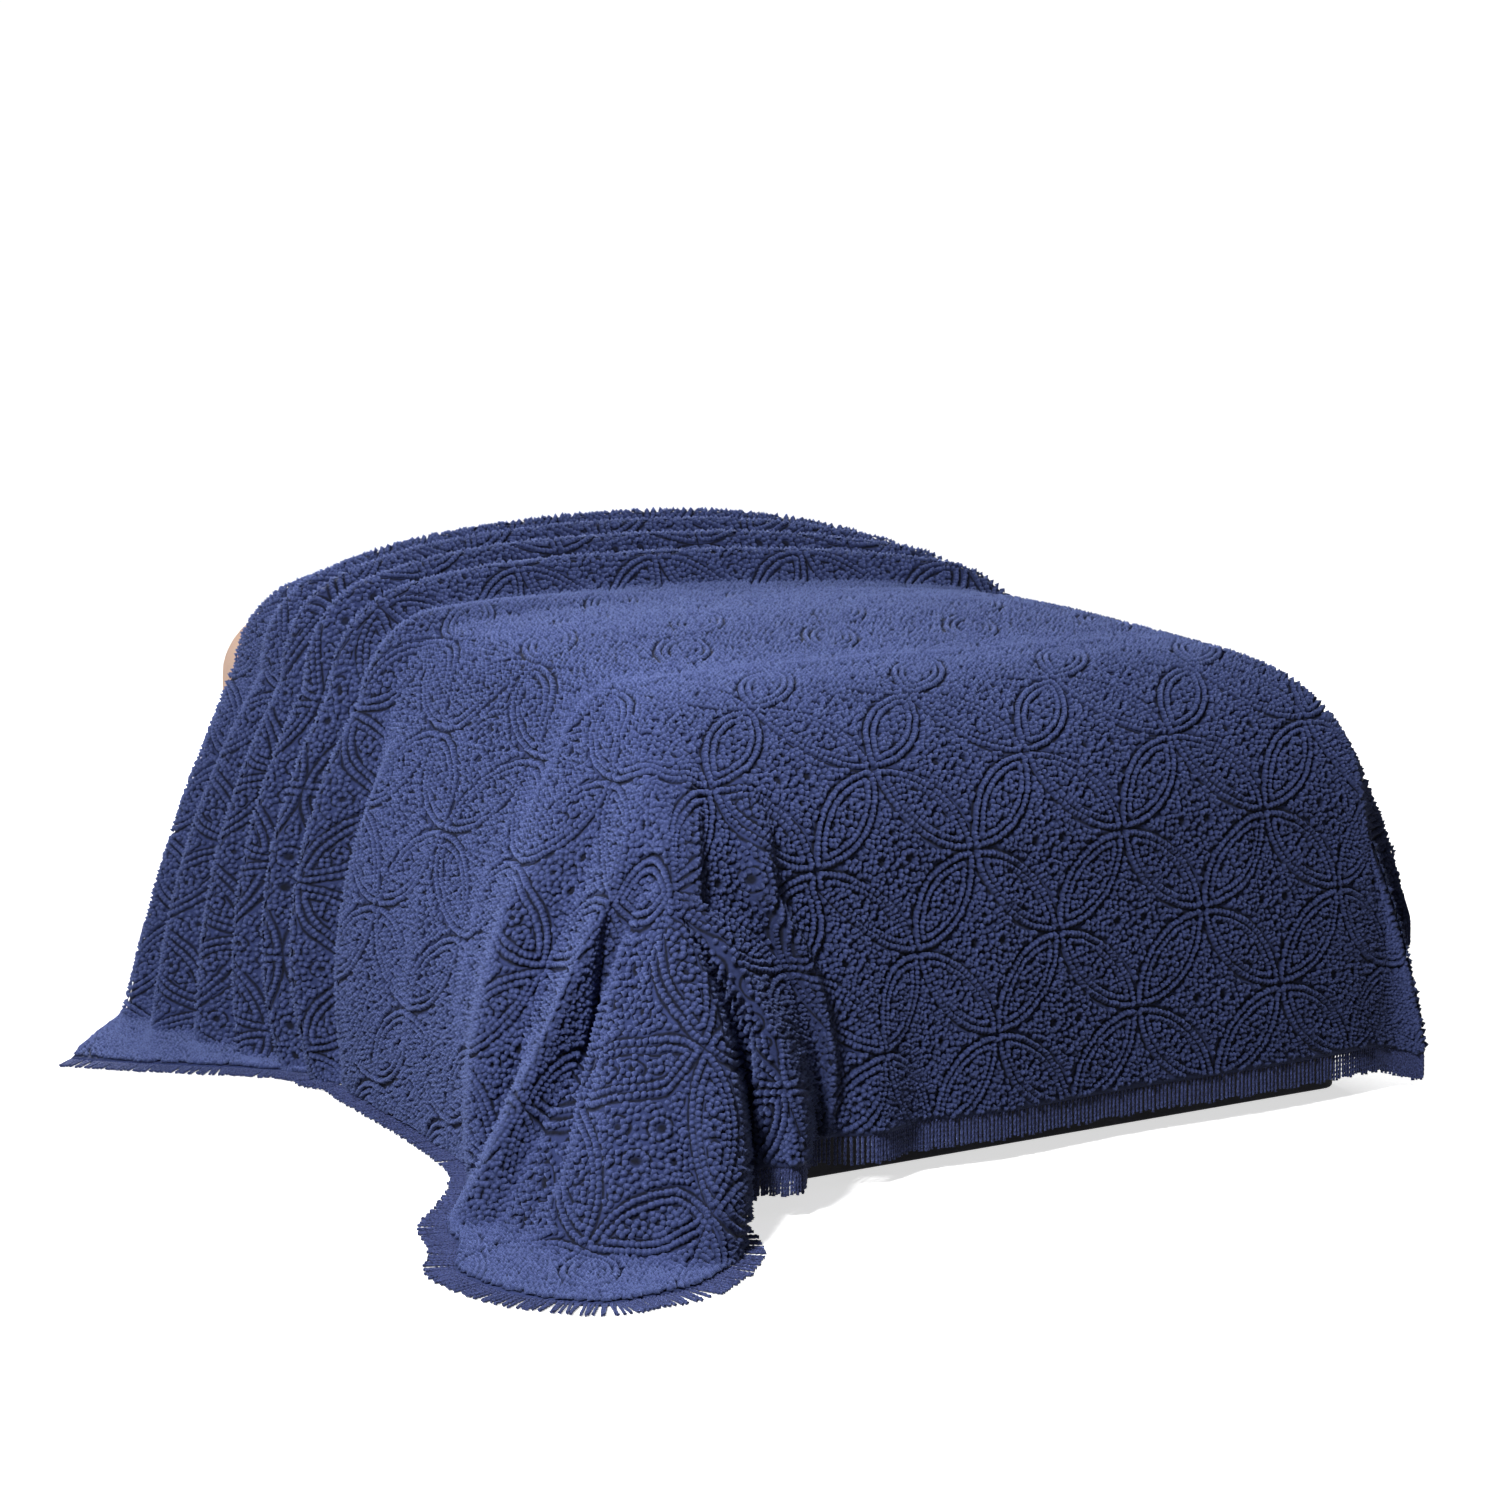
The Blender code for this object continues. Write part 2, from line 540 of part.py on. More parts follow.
clear_scene()
NAVY = plain_material("navy chenille", (0.035, 0.050, 0.160), 0.9)
CORD = plain_material("navy cord", (0.030, 0.042, 0.130), 0.85)
SHEET = plain_material("fitted sheet", (0.80, 0.58, 0.45), 0.8)
DARK = plain_material("dark base cloth", (0.012, 0.012, 0.018), 0.85)
POINTS, FACES = joined_grid(cloth_patches())
FACING = {
    tuple(np.round(point, 6)): normal
    for point, normal in zip(POINTS, normals_of(POINTS, FACES))
}
add_object("bedspread", *thickened(POINTS, FACES, CLOTH_THICKNESS), NAVY)
fringe("fringe_left", PLACES_LEFT, CORD)
fringe("fringe_left_corner", TURN, CORD)
fringe("fringe_foot", PLACES_FOOT, CORD)
fringe("fringe_right_corner", FOOT_PLACE + RIGHT_TURN, CORD)
fringe("fringe_right", PLACES_RIGHT, CORD)
mattress(SHEET)
bed_base(DARK)
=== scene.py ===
"""A fringed chenille bedspread on a plain bed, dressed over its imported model."""

import math
from collections import namedtuple

import bmesh
import bpy
import numpy as np
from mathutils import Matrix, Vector


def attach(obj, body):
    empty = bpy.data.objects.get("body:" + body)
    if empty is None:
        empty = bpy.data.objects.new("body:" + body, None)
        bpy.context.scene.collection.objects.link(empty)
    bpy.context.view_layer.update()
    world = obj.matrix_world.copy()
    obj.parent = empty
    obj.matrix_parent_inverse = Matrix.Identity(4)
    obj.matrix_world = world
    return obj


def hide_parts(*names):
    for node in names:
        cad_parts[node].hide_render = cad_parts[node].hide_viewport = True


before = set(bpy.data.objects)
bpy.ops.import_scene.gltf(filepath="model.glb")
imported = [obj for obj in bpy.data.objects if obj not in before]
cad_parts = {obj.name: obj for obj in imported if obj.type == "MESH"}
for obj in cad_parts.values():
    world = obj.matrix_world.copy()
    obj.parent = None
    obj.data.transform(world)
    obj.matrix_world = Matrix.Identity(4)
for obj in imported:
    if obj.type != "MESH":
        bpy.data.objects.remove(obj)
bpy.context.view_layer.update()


# Bed base
# A boxed timber base covered in black woven polyester, pulled tight and stapled beneath.
# It stands on the floor, and its edges are padded a little under the cloth.
BASE_WIDTH = 1.49
BASE_LENGTH = 1.99
BASE_HEIGHT = 0.36
BASE_CORNER = 0.04
BASE_COLOUR = (0.010, 0.010, 0.014)


def calc(tree, operation, first, second=0.0, third=0.0):
    """A Math node of this tree, and its result."""
    node = tree.nodes.new("ShaderNodeMath")
    node.operation = operation
    for socket, value in zip(node.inputs, (first, second, third)):
        if isinstance(value, (int, float)):
            socket.default_value = value
        else:
            tree.links.new(value, socket)
    return node.outputs[0]


def speckle(tree, place, scale, detail=2.0, roughness=0.5):
    """A noise of this scale at the place, from 0 to 1."""
    node = tree.nodes.new("ShaderNodeTexNoise")
    node.inputs["Scale"].default_value = scale
    node.inputs["Detail"].default_value = detail
    node.inputs["Roughness"].default_value = roughness
    tree.links.new(place, node.inputs["Vector"])
    return node.outputs["Fac"]


def shades(tree, amount, *stops):
    """A colour ramp through (position, colour) stops."""
    node = tree.nodes.new("ShaderNodeValToRGB")
    ramp = node.color_ramp
    while len(ramp.elements) < len(stops):
        ramp.elements.new(0.5)
    for element, (position, colour) in zip(ramp.elements, stops):
        element.position = position
        element.color = (*colour, 1.0)
    tree.links.new(amount, node.inputs["Fac"])
    return node.outputs["Color"]


def relief(tree, height, distance, strength=1.0):
    """A bump of this height in metres."""
    node = tree.nodes.new("ShaderNodeBump")
    node.inputs["Distance"].default_value = distance
    node.inputs["Strength"].default_value = strength
    tree.links.new(height, node.inputs["Height"])
    return node.outputs["Normal"]


def cloth_material(name, roughness, sheen, sheen_tint):
    """A new material with its shader set for cloth, and its node tree and shader."""
    material = bpy.data.materials.new(name)
    material.use_nodes = True
    tree = material.node_tree
    shader = tree.nodes["Principled BSDF"]
    shader.inputs["Roughness"].default_value = roughness
    shader.inputs["Specular IOR Level"].default_value = 0.25
    shader.inputs["Sheen Weight"].default_value = sheen
    shader.inputs["Sheen Roughness"].default_value = 0.45
    shader.inputs["Sheen Tint"].default_value = (*sheen_tint, 1.0)
    return material, tree, shader


def plain_weave(name, thread):
    """A group that gives the height of a plain weave over the object's own coordinates."""
    group = bpy.data.node_groups.new(name, "ShaderNodeTree")
    group.interface.new_socket("Place", in_out="INPUT", socket_type="NodeSocketVector")
    group.interface.new_socket("Height", in_out="OUTPUT", socket_type="NodeSocketFloat")
    entry = group.nodes.new("NodeGroupInput")
    leave = group.nodes.new("NodeGroupOutput")
    split = group.nodes.new("ShaderNodeSeparateXYZ")
    group.links.new(entry.outputs["Place"], split.inputs[0])
    turn = math.pi / thread
    waves = [calc(group, "SINE", calc(group, "MULTIPLY", axis, turn)) for axis in split.outputs]
    along = calc(group, "ADD", waves[0], waves[1])
    group.links.new(calc(group, "MULTIPLY", along, waves[2]), leave.inputs["Height"])
    return group


def woven(tree, group, place):
    node = tree.nodes.new("ShaderNodeGroup")
    node.node_tree = group
    tree.links.new(place, node.inputs["Place"])
    return node.outputs["Height"]


def object_place(tree):
    return tree.nodes.new("ShaderNodeTexCoord").outputs["Object"]


WEAVE = plain_weave("plain weave", 0.0011)
base_cloth, tree, shader = cloth_material("black base cloth", 0.85, 0.15, (0.5, 0.5, 0.6))
place = object_place(tree)
mottle = speckle(tree, place, 9.0)
light_black = tuple(2.2 * part for part in BASE_COLOUR)
tree.links.new(
    shades(tree, mottle, (0.3, BASE_COLOUR), (0.7, light_black)), shader.inputs["Base Color"]
)
tree.links.new(relief(tree, woven(tree, WEAVE, place), 0.0004, 0.5), shader.inputs["Normal"])


def new_piece(name, points, faces, *materials, smooth=True):
    """A mesh piece of the object, at the origin."""
    mesh = bpy.data.meshes.new(name)
    mesh.from_pydata([tuple(map(float, p)) for p in points], [], [list(map(int, f)) for f in faces])
    for material in materials:
        mesh.materials.append(material)
    if smooth:
        mesh.shade_smooth()
    piece = bpy.data.objects.new(name, mesh)
    bpy.context.scene.collection.objects.link(piece)
    return piece


def rounded_box(name, width, length, low, high, corner, edge):
    work = bmesh.new()
    bmesh.ops.create_cube(work, size=1.0)
    bmesh.ops.scale(work, vec=(width, length, high - low), verts=work.verts)
    bmesh.ops.translate(work, vec=(0.0, 0.0, (high + low) / 2), verts=work.verts)
    upright = [e for e in work.edges if abs(e.verts[0].co.z - e.verts[1].co.z) > 0.01]
    bmesh.ops.bevel(
        work, geom=upright, offset=corner, segments=8, profile=0.5, affect="EDGES"
    )
    level = [e for e in work.edges if abs(e.verts[0].co.z - e.verts[1].co.z) < 1e-5]
    rims = [e for e in level if len({round(f.normal.z, 1) for f in e.link_faces}) > 1]
    bmesh.ops.bevel(work, geom=rims, offset=edge, segments=3, profile=0.5, affect="EDGES")
    mesh = bpy.data.meshes.new(name)
    work.to_mesh(mesh)
    work.free()
    return mesh


mesh = rounded_box(
    "bed base cover", BASE_WIDTH, BASE_LENGTH, 0.0, BASE_HEIGHT, BASE_CORNER, 0.006
)
mesh.materials.append(base_cloth)
mesh.shade_smooth()
mesh.set_sharp_from_angle(angle=math.radians(40))
base = bpy.data.objects.new("bed_base_cover", mesh)
bpy.context.scene.collection.objects.link(base)
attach(base, "root")
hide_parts("bed_base")


# Mattress
# A plump sprung mattress in a peach cotton fitted sheet. The sheet is drawn over its
# rounded edges and held beneath by elastic, so its corners pucker a little.
BED_WIDTH = 1.53
BED_LENGTH = 2.03
SIDE_TOP = 0.825
CROWN = 0.065
SIDE_ROUNDING = 0.14
FOOT_ROUNDING = 0.33
SIDE_FLARE = 0.20
FOOT_FLARE = 0.09
HEAD_ROUNDING = 0.10
HEAD_ANGLE = math.radians(85)
MATTRESS_INSET = 0.008
SHEET_COLOUR = (0.78, 0.53, 0.40)
SHEET_FOLD_COLOUR = (0.70, 0.46, 0.34)

HALF_WIDTH = BED_WIDTH / 2
HALF_LENGTH = BED_LENGTH / 2
SIDE_ANGLE = math.pi / 2 - math.atan(SIDE_FLARE)
FOOT_ANGLE = math.pi / 2 - math.atan(FOOT_FLARE)
FLAT_HALF_WIDTH = HALF_WIDTH - SIDE_ROUNDING
FLAT_FOOT = HALF_LENGTH - FOOT_ROUNDING
EDGE_ACROSS = FLAT_HALF_WIDTH + SIDE_ROUNDING * SIDE_ANGLE
EDGE_FOOT = FLAT_FOOT + FOOT_ROUNDING * FOOT_ANGLE


def ease(x):
    """A smooth step from 0 to 1."""
    x = np.clip(x, 0.0, 1.0)
    return x * x * (3 - 2 * x)


def rounded(distance, flat, radius, angle):
    """How far out and down a point is that lies this far along a rounded edge."""
    turned = np.clip((np.abs(distance) - flat) / radius, 0.0, angle)
    out = np.minimum(np.abs(distance), flat) + radius * np.sin(turned)
    return np.sign(distance) * out, radius * (1 - np.cos(turned)), turned


def bed_top(x, y):
    """The height of the mattress's crowned top, before its edges are rounded."""
    across = 1 - np.clip(np.abs(x) / 0.80, 0.0, 1.0) ** 4
    along = ease((y + 1.0) / 0.95) * (0.45 + 0.55 * ease((1.05 - y) / 0.30))
    return SIDE_TOP + CROWN * across * along


def steps(*stretches):
    """Evenly spaced stations over each stretch, given as (start, end, size of a step)."""
    found = [stretches[0][0]]
    for start, end, size in stretches:
        count = max(1, round(abs(end - start) / size))
        found += list(np.linspace(start, end, count + 1)[1:])
    return np.array(found)


def grid_faces(index, turned=False):
    """The faces of a grid of point numbers."""
    a, b, c, d = index[:-1, :-1], index[:-1, 1:], index[1:, 1:], index[1:, :-1]
    faces = np.stack([a, b, c, d], -1).reshape(-1, 4)
    return faces[:, ::-1] if turned else faces


across = steps((-EDGE_ACROSS, -FLAT_HALF_WIDTH, 0.02), (-FLAT_HALF_WIDTH, FLAT_HALF_WIDTH, 0.04),
               (FLAT_HALF_WIDTH, EDGE_ACROSS, 0.02))
head_flat = HALF_LENGTH - HEAD_ROUNDING
along = steps((-EDGE_FOOT, -FLAT_FOOT, 0.03), (-FLAT_FOOT, head_flat, 0.04),
              (head_flat, head_flat + HEAD_ROUNDING * HEAD_ANGLE, 0.015))
s, t = np.meshgrid(across, along)
x, side_fall, _ = rounded(s, FLAT_HALF_WIDTH, SIDE_ROUNDING, SIDE_ANGLE)
foot_y, foot_fall, _ = rounded(np.minimum(t, 0.0), FLAT_FOOT, FOOT_ROUNDING, FOOT_ANGLE)
head_y, head_fall, _ = rounded(np.maximum(t, 0.0), head_flat, HEAD_ROUNDING, HEAD_ANGLE)
y = foot_y + head_y
z = bed_top(x, np.minimum(y, head_flat)) - (side_fall**4 + foot_fall**4 + head_fall**4) ** 0.25
top = np.stack([x, y, z], -1)
slope_s = np.gradient(top, axis=1)
slope_t = np.gradient(top, axis=0)
outward = np.cross(slope_s, slope_t)
outward /= np.linalg.norm(outward, axis=2, keepdims=True)
top -= outward * MATTRESS_INSET
rows, columns = s.shape
index = np.arange(rows * columns).reshape(rows, columns)
rim = np.concatenate([index[0, :-1], index[:-1, -1], index[-1, :0:-1], index[:0:-1, 0]])
rim_points = top.reshape(-1, 3)[rim]
levels = 14
walls = []
for k in range(1, levels + 1):
    share = k / levels
    level = rim_points.copy()
    level[:, 2] = rim_points[:, 2] + (BASE_HEIGHT + 0.001 - rim_points[:, 2]) * share
    middle = 0.010 * math.sin(math.pi * share) - 0.012 * ease(share * 6 - 5)
    away = rim_points[:, :2] - np.clip(rim_points[:, :2], [-0.62, -0.88], [0.62, 0.88])
    away /= np.maximum(np.linalg.norm(away, axis=1, keepdims=True), 1e-6)
    corner = np.clip(np.abs(rim_points[:, 0]) - 0.55, 0, 1) * np.clip(rim_points[:, 1] - 0.80, 0, 1)
    pucker = np.sin(rim_points[:, 0] * 190 + rim_points[:, 1] * 170 + share * 7.0)
    pull = 0.0030 * pucker * ease(corner * 40) * math.sin(math.pi * min(1.0, share * 1.3))
    long_fold = 0.0015 * np.sin(rim_points[:, 0] * 11 + rim_points[:, 1] * 9 + share * 4.0)
    level[:, :2] += away * (middle + pull + long_fold)[:, None] * 0.6
    walls.append(level)
points = np.vstack([top.reshape(-1, 3), *walls])
rings = [rim] + [rows * columns + k * len(rim) + np.arange(len(rim)) for k in range(levels)]
faces = [list(face) for face in grid_faces(index)]
for upper, lower in zip(rings, rings[1:]):
    for a, b, c, d in zip(upper, np.roll(upper, -1), np.roll(lower, -1), lower):
        faces.append([b, a, d, c])
faces.append(list(rings[-1][::-1]))
sheet_cloth, tree, shader = cloth_material("peach fitted sheet", 0.78, 0.25, (1.0, 0.9, 0.85))
place = object_place(tree)
soft = speckle(tree, place, 5.0, 3.0)
tree.links.new(
    shades(tree, soft, (0.35, SHEET_FOLD_COLOUR), (0.65, SHEET_COLOUR)),
    shader.inputs["Base Color"],
)
wrinkle = calc(tree, "MULTIPLY", speckle(tree, place, 14.0, 3.0), 8.0)
height = calc(tree, "ADD", woven(tree, WEAVE, place), wrinkle)
tree.links.new(relief(tree, height, 0.0005, 0.6), shader.inputs["Normal"])
mattress = new_piece("mattress_in_sheet", points, faces, sheet_cloth)
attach(mattress, "root")
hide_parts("mattress")


# Bedspread
# One sheet of cotton cloth tufted all over with thick soft pile, in rows that draw large
# linked rings with small round flowers between them. It was thrown over the bed, pushed
# into rolls near the head, and falls to the floor on the left and at the left foot corner.
CLOTH_THICKNESS = 0.006
LEFT_DROP = 0.745
RIGHT_DROP = 0.375
FOOT_DROP = 0.445
HEAD_SLIDE = 0.38
FALL_RATE = 0.97
CORNER_SPAN = 0.50
CELL = 0.0136
CELLS_DOWN = 48

# Rolls of the pushed-up top: where each lies on the flat cloth, where it stands along the
# bed at the left, middle and right, and how high it rises there.
Roll = namedtuple("Roll", "cloth left middle right left_rise middle_rise right_rise")
ROLLS = (
    Roll(-0.60, -0.60, -0.60, -0.60, 0.000, 0.000, 0.000),
    Roll(-0.20, -0.20, -0.18, -0.22, 0.000, 0.000, 0.000),
    Roll(0.08, 0.07, 0.10, -0.04, 0.002, 0.000, 0.000),
    Roll(0.18, 0.15, 0.21, 0.01, 0.040, 0.002, 0.001),
    Roll(0.28, 0.215, 0.33, 0.065, 0.004, 0.003, 0.003),
    Roll(0.38, 0.28, 0.41, 0.125, 0.050, 0.072, 0.050),
    Roll(0.475, 0.345, 0.475, 0.19, 0.006, 0.026, 0.012),
    Roll(0.57, 0.41, 0.54, 0.26, 0.048, 0.100, 0.060),
    Roll(0.665, 0.475, 0.60, 0.33, 0.004, 0.050, 0.020),
    Roll(0.76, 0.54, 0.66, 0.42, 0.040, 0.118, 0.070),
    Roll(0.855, 0.61, 0.72, 0.51, 0.002, 0.068, 0.030),
    Roll(0.95, 0.685, 0.78, 0.60, 0.022, 0.125, 0.080),
    Roll(1.045, 0.76, 0.84, 0.69, 0.000, 0.075, 0.035),
    Roll(1.14, 0.84, 0.895, 0.77, 0.008, 0.090, 0.060),
    Roll(1.22, 0.91, 0.945, 0.845, 0.000, 0.020, 0.012),
)

# Pleats of the falling cloth, once round the bed: see top_of_drop and falling.
Pleat = namedtuple("Pleat", "place share middle_x middle_y hem_x hem_y")
PLEATS = (
    Pleat(-2.394, 0.36, -0.925, 0.900, -1.320, 0.470),
    Pleat(-2.314, 0.36, -0.955, 0.840, -1.275, 0.425),
    Pleat(-2.219, 0.37, -0.915, 0.790, -1.235, 0.385),
    Pleat(-2.124, 0.38, -0.965, 0.715, -1.190, 0.345),
    Pleat(-2.029, 0.40, -0.900, 0.640, -1.145, 0.305),
    Pleat(-1.934, 0.42, -0.965, 0.555, -1.100, 0.265),
    Pleat(-1.839, 0.44, -0.870, 0.490, -1.055, 0.230),
    Pleat(-1.744, 0.46, -0.965, 0.410, -1.020, 0.195),
    Pleat(-1.649, 0.48, -0.865, 0.345, -0.985, 0.160),
    Pleat(-1.554, 0.49, -0.965, 0.270, -0.965, 0.130),
    Pleat(-1.454, 0.50, -0.862, 0.205, -0.945, 0.090),
    Pleat(-1.354, 0.50, -0.965, 0.125, -0.955, 0.050),
    Pleat(-1.254, 0.50, -0.865, 0.060, -0.930, -0.010),
    Pleat(-1.154, 0.50, -0.925, -0.020, -0.940, -0.090),
    Pleat(-0.854, 0.52, -0.905, -0.310, -0.945, -0.390),
    Pleat(-0.600, 0.60, -0.930, -0.575, -0.965, -0.630),
    Pleat(-0.450, 0.62, -0.990, -0.730, -1.020, -0.760),
    Pleat(-0.330, 0.62, -0.930, -0.795, -1.090, -0.850),
    Pleat(-0.220, 0.58, -0.975, -0.925, -1.160, -0.940),
    Pleat(-0.100, 0.48, -0.904, -0.930, -1.190, -1.045),
    Pleat(0.020, 0.36, -0.905, -1.045, -1.248, -1.170),
    Pleat(0.080, 0.35, -0.895, -1.105, -1.232, -1.275),
    Pleat(0.140, 0.34, -0.865, -1.160, -1.170, -1.375),
    Pleat(0.190, 0.38, -0.835, -1.190, -1.090, -1.425),
    Pleat(0.235, 0.42, -0.800, -1.200, -0.990, -1.425),
    Pleat(0.280, 0.47, -0.765, -1.195, -0.875, -1.365),
    Pleat(0.330, 0.52, -0.715, -1.125, -0.775, -1.265),
    Pleat(0.400, 0.58, -0.655, -1.040, -0.690, -1.125),
    Pleat(0.520, 0.60, -0.635, -1.160, -0.625, -1.185),
    Pleat(0.690, 0.60, -0.500, -1.040, -0.500, -1.050),
    Pleat(0.800, 0.58, -0.410, -1.065, -0.405, -1.095),
    Pleat(0.970, 0.55, -0.300, -1.050, -0.300, -1.068),
    Pleat(1.170, 0.55, -0.140, -1.062, -0.140, -1.085),
    Pleat(1.480, 0.55, 0.160, -1.050, 0.160, -1.070),
    Pleat(1.800, 0.55, 0.480, -1.058, 0.480, -1.080),
    Pleat(2.020, 0.50, 0.690, -1.052, 0.695, -1.070),
    Pleat(2.190, 0.42, 0.790, -1.040, 0.800, -1.060),
    Pleat(2.360, 0.48, 0.822, -1.060, 0.868, -1.090),
    Pleat(2.500, 0.46, 0.818, -0.990, 0.848, -1.000),
    Pleat(2.640, 0.46, 0.835, -0.915, 0.857, -0.917),
    Pleat(2.800, 0.50, 0.905, -0.905, 0.955, -0.945),
    Pleat(2.960, 0.50, 0.835, -0.770, 0.860, -0.775),
    Pleat(3.150, 0.50, 0.830, -0.600, 0.850, -0.600),
    Pleat(3.400, 0.50, 0.845, -0.390, 0.870, -0.385),
    Pleat(3.784, 0.50, 0.822, -0.060, 0.845, -0.060),
    Pleat(4.084, 0.50, 0.820, 0.070, 0.840, 0.070),
    Pleat(4.188, 0.50, 0.860, 0.125, 0.885, 0.125),
    Pleat(4.283, 0.50, 0.820, 0.190, 0.840, 0.190),
    Pleat(4.378, 0.50, 0.865, 0.260, 0.885, 0.260),
    Pleat(4.473, 0.50, 0.820, 0.330, 0.838, 0.330),
    Pleat(4.568, 0.50, 0.865, 0.420, 0.885, 0.420),
    Pleat(4.663, 0.50, 0.818, 0.510, 0.836, 0.510),
    Pleat(4.758, 0.50, 0.860, 0.600, 0.880, 0.600),
    Pleat(4.853, 0.50, 0.816, 0.690, 0.832, 0.690),
    Pleat(4.948, 0.50, 0.850, 0.770, 0.865, 0.770),
    Pleat(5.028, 0.50, 0.812, 0.845, 0.825, 0.845),
)
HEAD_EDGE = ROLLS[-1].cloth
FOOT_PLACE = CORNER_SPAN + 2 * EDGE_ACROSS
RIGHT_PLACE = FOOT_PLACE + CORNER_SPAN


# Soft creases that the drop pulls into the cloth at the left foot corner, along the left
# side and, faintly, over the foot. Each row is one stretch of a ridge, or of a trough where
# its height is below zero, from one point of the flat cloth to another. It fades at both ends.
Crease = namedtuple("Crease", "start_u start_v end_u end_v width height")
CREASES = (
    Crease(-0.956, -0.950, -1.290, -1.200, 0.028, -0.030),
    Crease(-1.240, -0.850, -1.540, -0.790, 0.032, -0.024),
    Crease(-0.990, -1.180, -1.230, -1.560, 0.028, -0.030),
    Crease(-0.900, -1.060, -1.350, -1.430, 0.036, 0.018),
    Crease(-0.760, -1.220, -0.930, -1.580, 0.022, -0.024),
    Crease(-0.680, -0.890, -0.900, -1.640, 0.022, 0.034),
    Crease(-0.590, -0.930, -0.620, -1.660, 0.024, 0.046),
    Crease(-1.020, -0.700, -1.330, -0.860, 0.040, 0.016),
    Crease(-0.900, -0.300, -1.450, -0.360, 0.045, 0.012),
    Crease(-0.900, -0.520, -1.400, -0.600, 0.040, 0.012),
    Crease(-0.100, -1.050, -0.130, -1.420, 0.045, 0.010),
    Crease(0.420, -1.000, 0.460, -1.420, 0.050, 0.010),
)


def through(x, stations, values):
    """A smooth curve through a table's values, flat past its ends."""
    stations = np.asarray(stations, float)
    values = np.asarray(values, float)
    secants = np.diff(values) / np.diff(stations)
    before, after = secants[:-1], secants[1:]
    turning = before * after <= 0
    both = np.where(turning, 1.0, before + after)
    slopes = np.zeros(len(values))
    slopes[1:-1] = np.where(turning, 0.0, 2 * before * after / both)
    i = np.clip(np.searchsorted(stations, x) - 1, 0, len(stations) - 2)
    width = stations[i + 1] - stations[i]
    u = np.clip((x - stations[i]) / width, 0.0, 1.0)
    start = (1 + 2 * u) * (1 - u) ** 2 * values[i] + u * (1 - u) ** 2 * width * slopes[i]
    end = u * u * (3 - 2 * u) * values[i + 1] + u * u * (u - 1) * width * slopes[i + 1]
    return start + end


def column(table, name):
    return [getattr(row, name) for row in table]


def over_bed(across, cloth):
    """Where a point of the cloth on top of the bed lies, by its distances on the flat cloth."""
    x, side_fall, turned = rounded(across, FLAT_HALF_WIDTH, SIDE_ROUNDING, SIDE_ANGLE)
    foot_y, foot_fall, _ = rounded(np.minimum(cloth, 0.0), FLAT_FOOT, FOOT_ROUNDING, FOOT_ANGLE)
    share = across / EDGE_ACROSS
    stations = column(ROLLS, "cloth")

    def blend(kind):
        left = through(cloth, stations, column(ROLLS, "left" + kind))
        middle = through(cloth, stations, column(ROLLS, "middle" + kind))
        right = through(cloth, stations, column(ROLLS, "right" + kind))
        return middle + (right - left) / 2 * share + ((right + left) / 2 - middle) * share**2

    on_top = cloth > ROLLS[0].cloth
    y = np.where(on_top, blend(""), foot_y)
    rise = np.where(on_top, blend("_rise"), 0.0)
    fall = (side_fall**4 + foot_fall**4) ** 0.25
    z = bed_top(x, y) - fall + rise * np.cos(turned)
    return np.stack([x + rise * np.sign(across) * np.sin(turned), y, z], -1)


def corner_length(side, foot, squareness=8):
    """The reach of the cloth's slightly rounded corner."""
    return (side**squareness + foot**squareness) ** (-1 / squareness)


def drop_length(place):
    """How much cloth hangs from the top of the drop to the hem."""
    slide = ease((-EDGE_FOOT - place) / HEAD_EDGE)
    left = LEFT_DROP + HEAD_SLIDE * slide
    turn = np.clip(place / CORNER_SPAN, 0.0, 1.0) * math.pi / 2
    left_corner = corner_length(np.cos(turn) / LEFT_DROP, np.sin(turn) / FOOT_DROP)
    turn = np.clip((place - FOOT_PLACE) / CORNER_SPAN, 0.0, 1.0) * math.pi / 2
    right_corner = corner_length(np.sin(turn) / RIGHT_DROP, np.cos(turn) / FOOT_DROP, 3)
    slide = ease((place - RIGHT_PLACE - EDGE_FOOT) / HEAD_EDGE)
    right = RIGHT_DROP * (1 - 0.5 * slide)
    found = np.where(place < 0, left, left_corner)
    found = np.where(place > FOOT_PLACE, right_corner, found)
    return np.where(place > RIGHT_PLACE, right, found)


def top_of_drop(place):
    """The distances on the flat cloth of the point where the cloth starts to fall."""
    across = np.clip(place - CORNER_SPAN - EDGE_ACROSS, -EDGE_ACROSS, EDGE_ACROSS)
    cloth = -EDGE_FOOT + np.maximum(-place, 0.0) + np.maximum(place - RIGHT_PLACE, 0.0)
    return across, cloth


def flat_place(place, share):
    """The point on the flat cloth, from the place along the drop and the share of it."""
    reach = drop_length(place) * share
    left_turn = np.clip(place / CORNER_SPAN, 0.0, 1.0) * math.pi / 2
    right_turn = np.clip((place - FOOT_PLACE) / CORNER_SPAN, 0.0, 1.0) * math.pi / 2
    across, cloth = top_of_drop(place)
    across = across - reach * np.where(place < CORNER_SPAN, np.cos(left_turn), 0.0)
    across = across + reach * np.where(place > FOOT_PLACE, np.sin(right_turn), 0.0)
    down = np.where(place > FOOT_PLACE, np.cos(right_turn), np.sin(left_turn))
    return across, cloth - reach * down


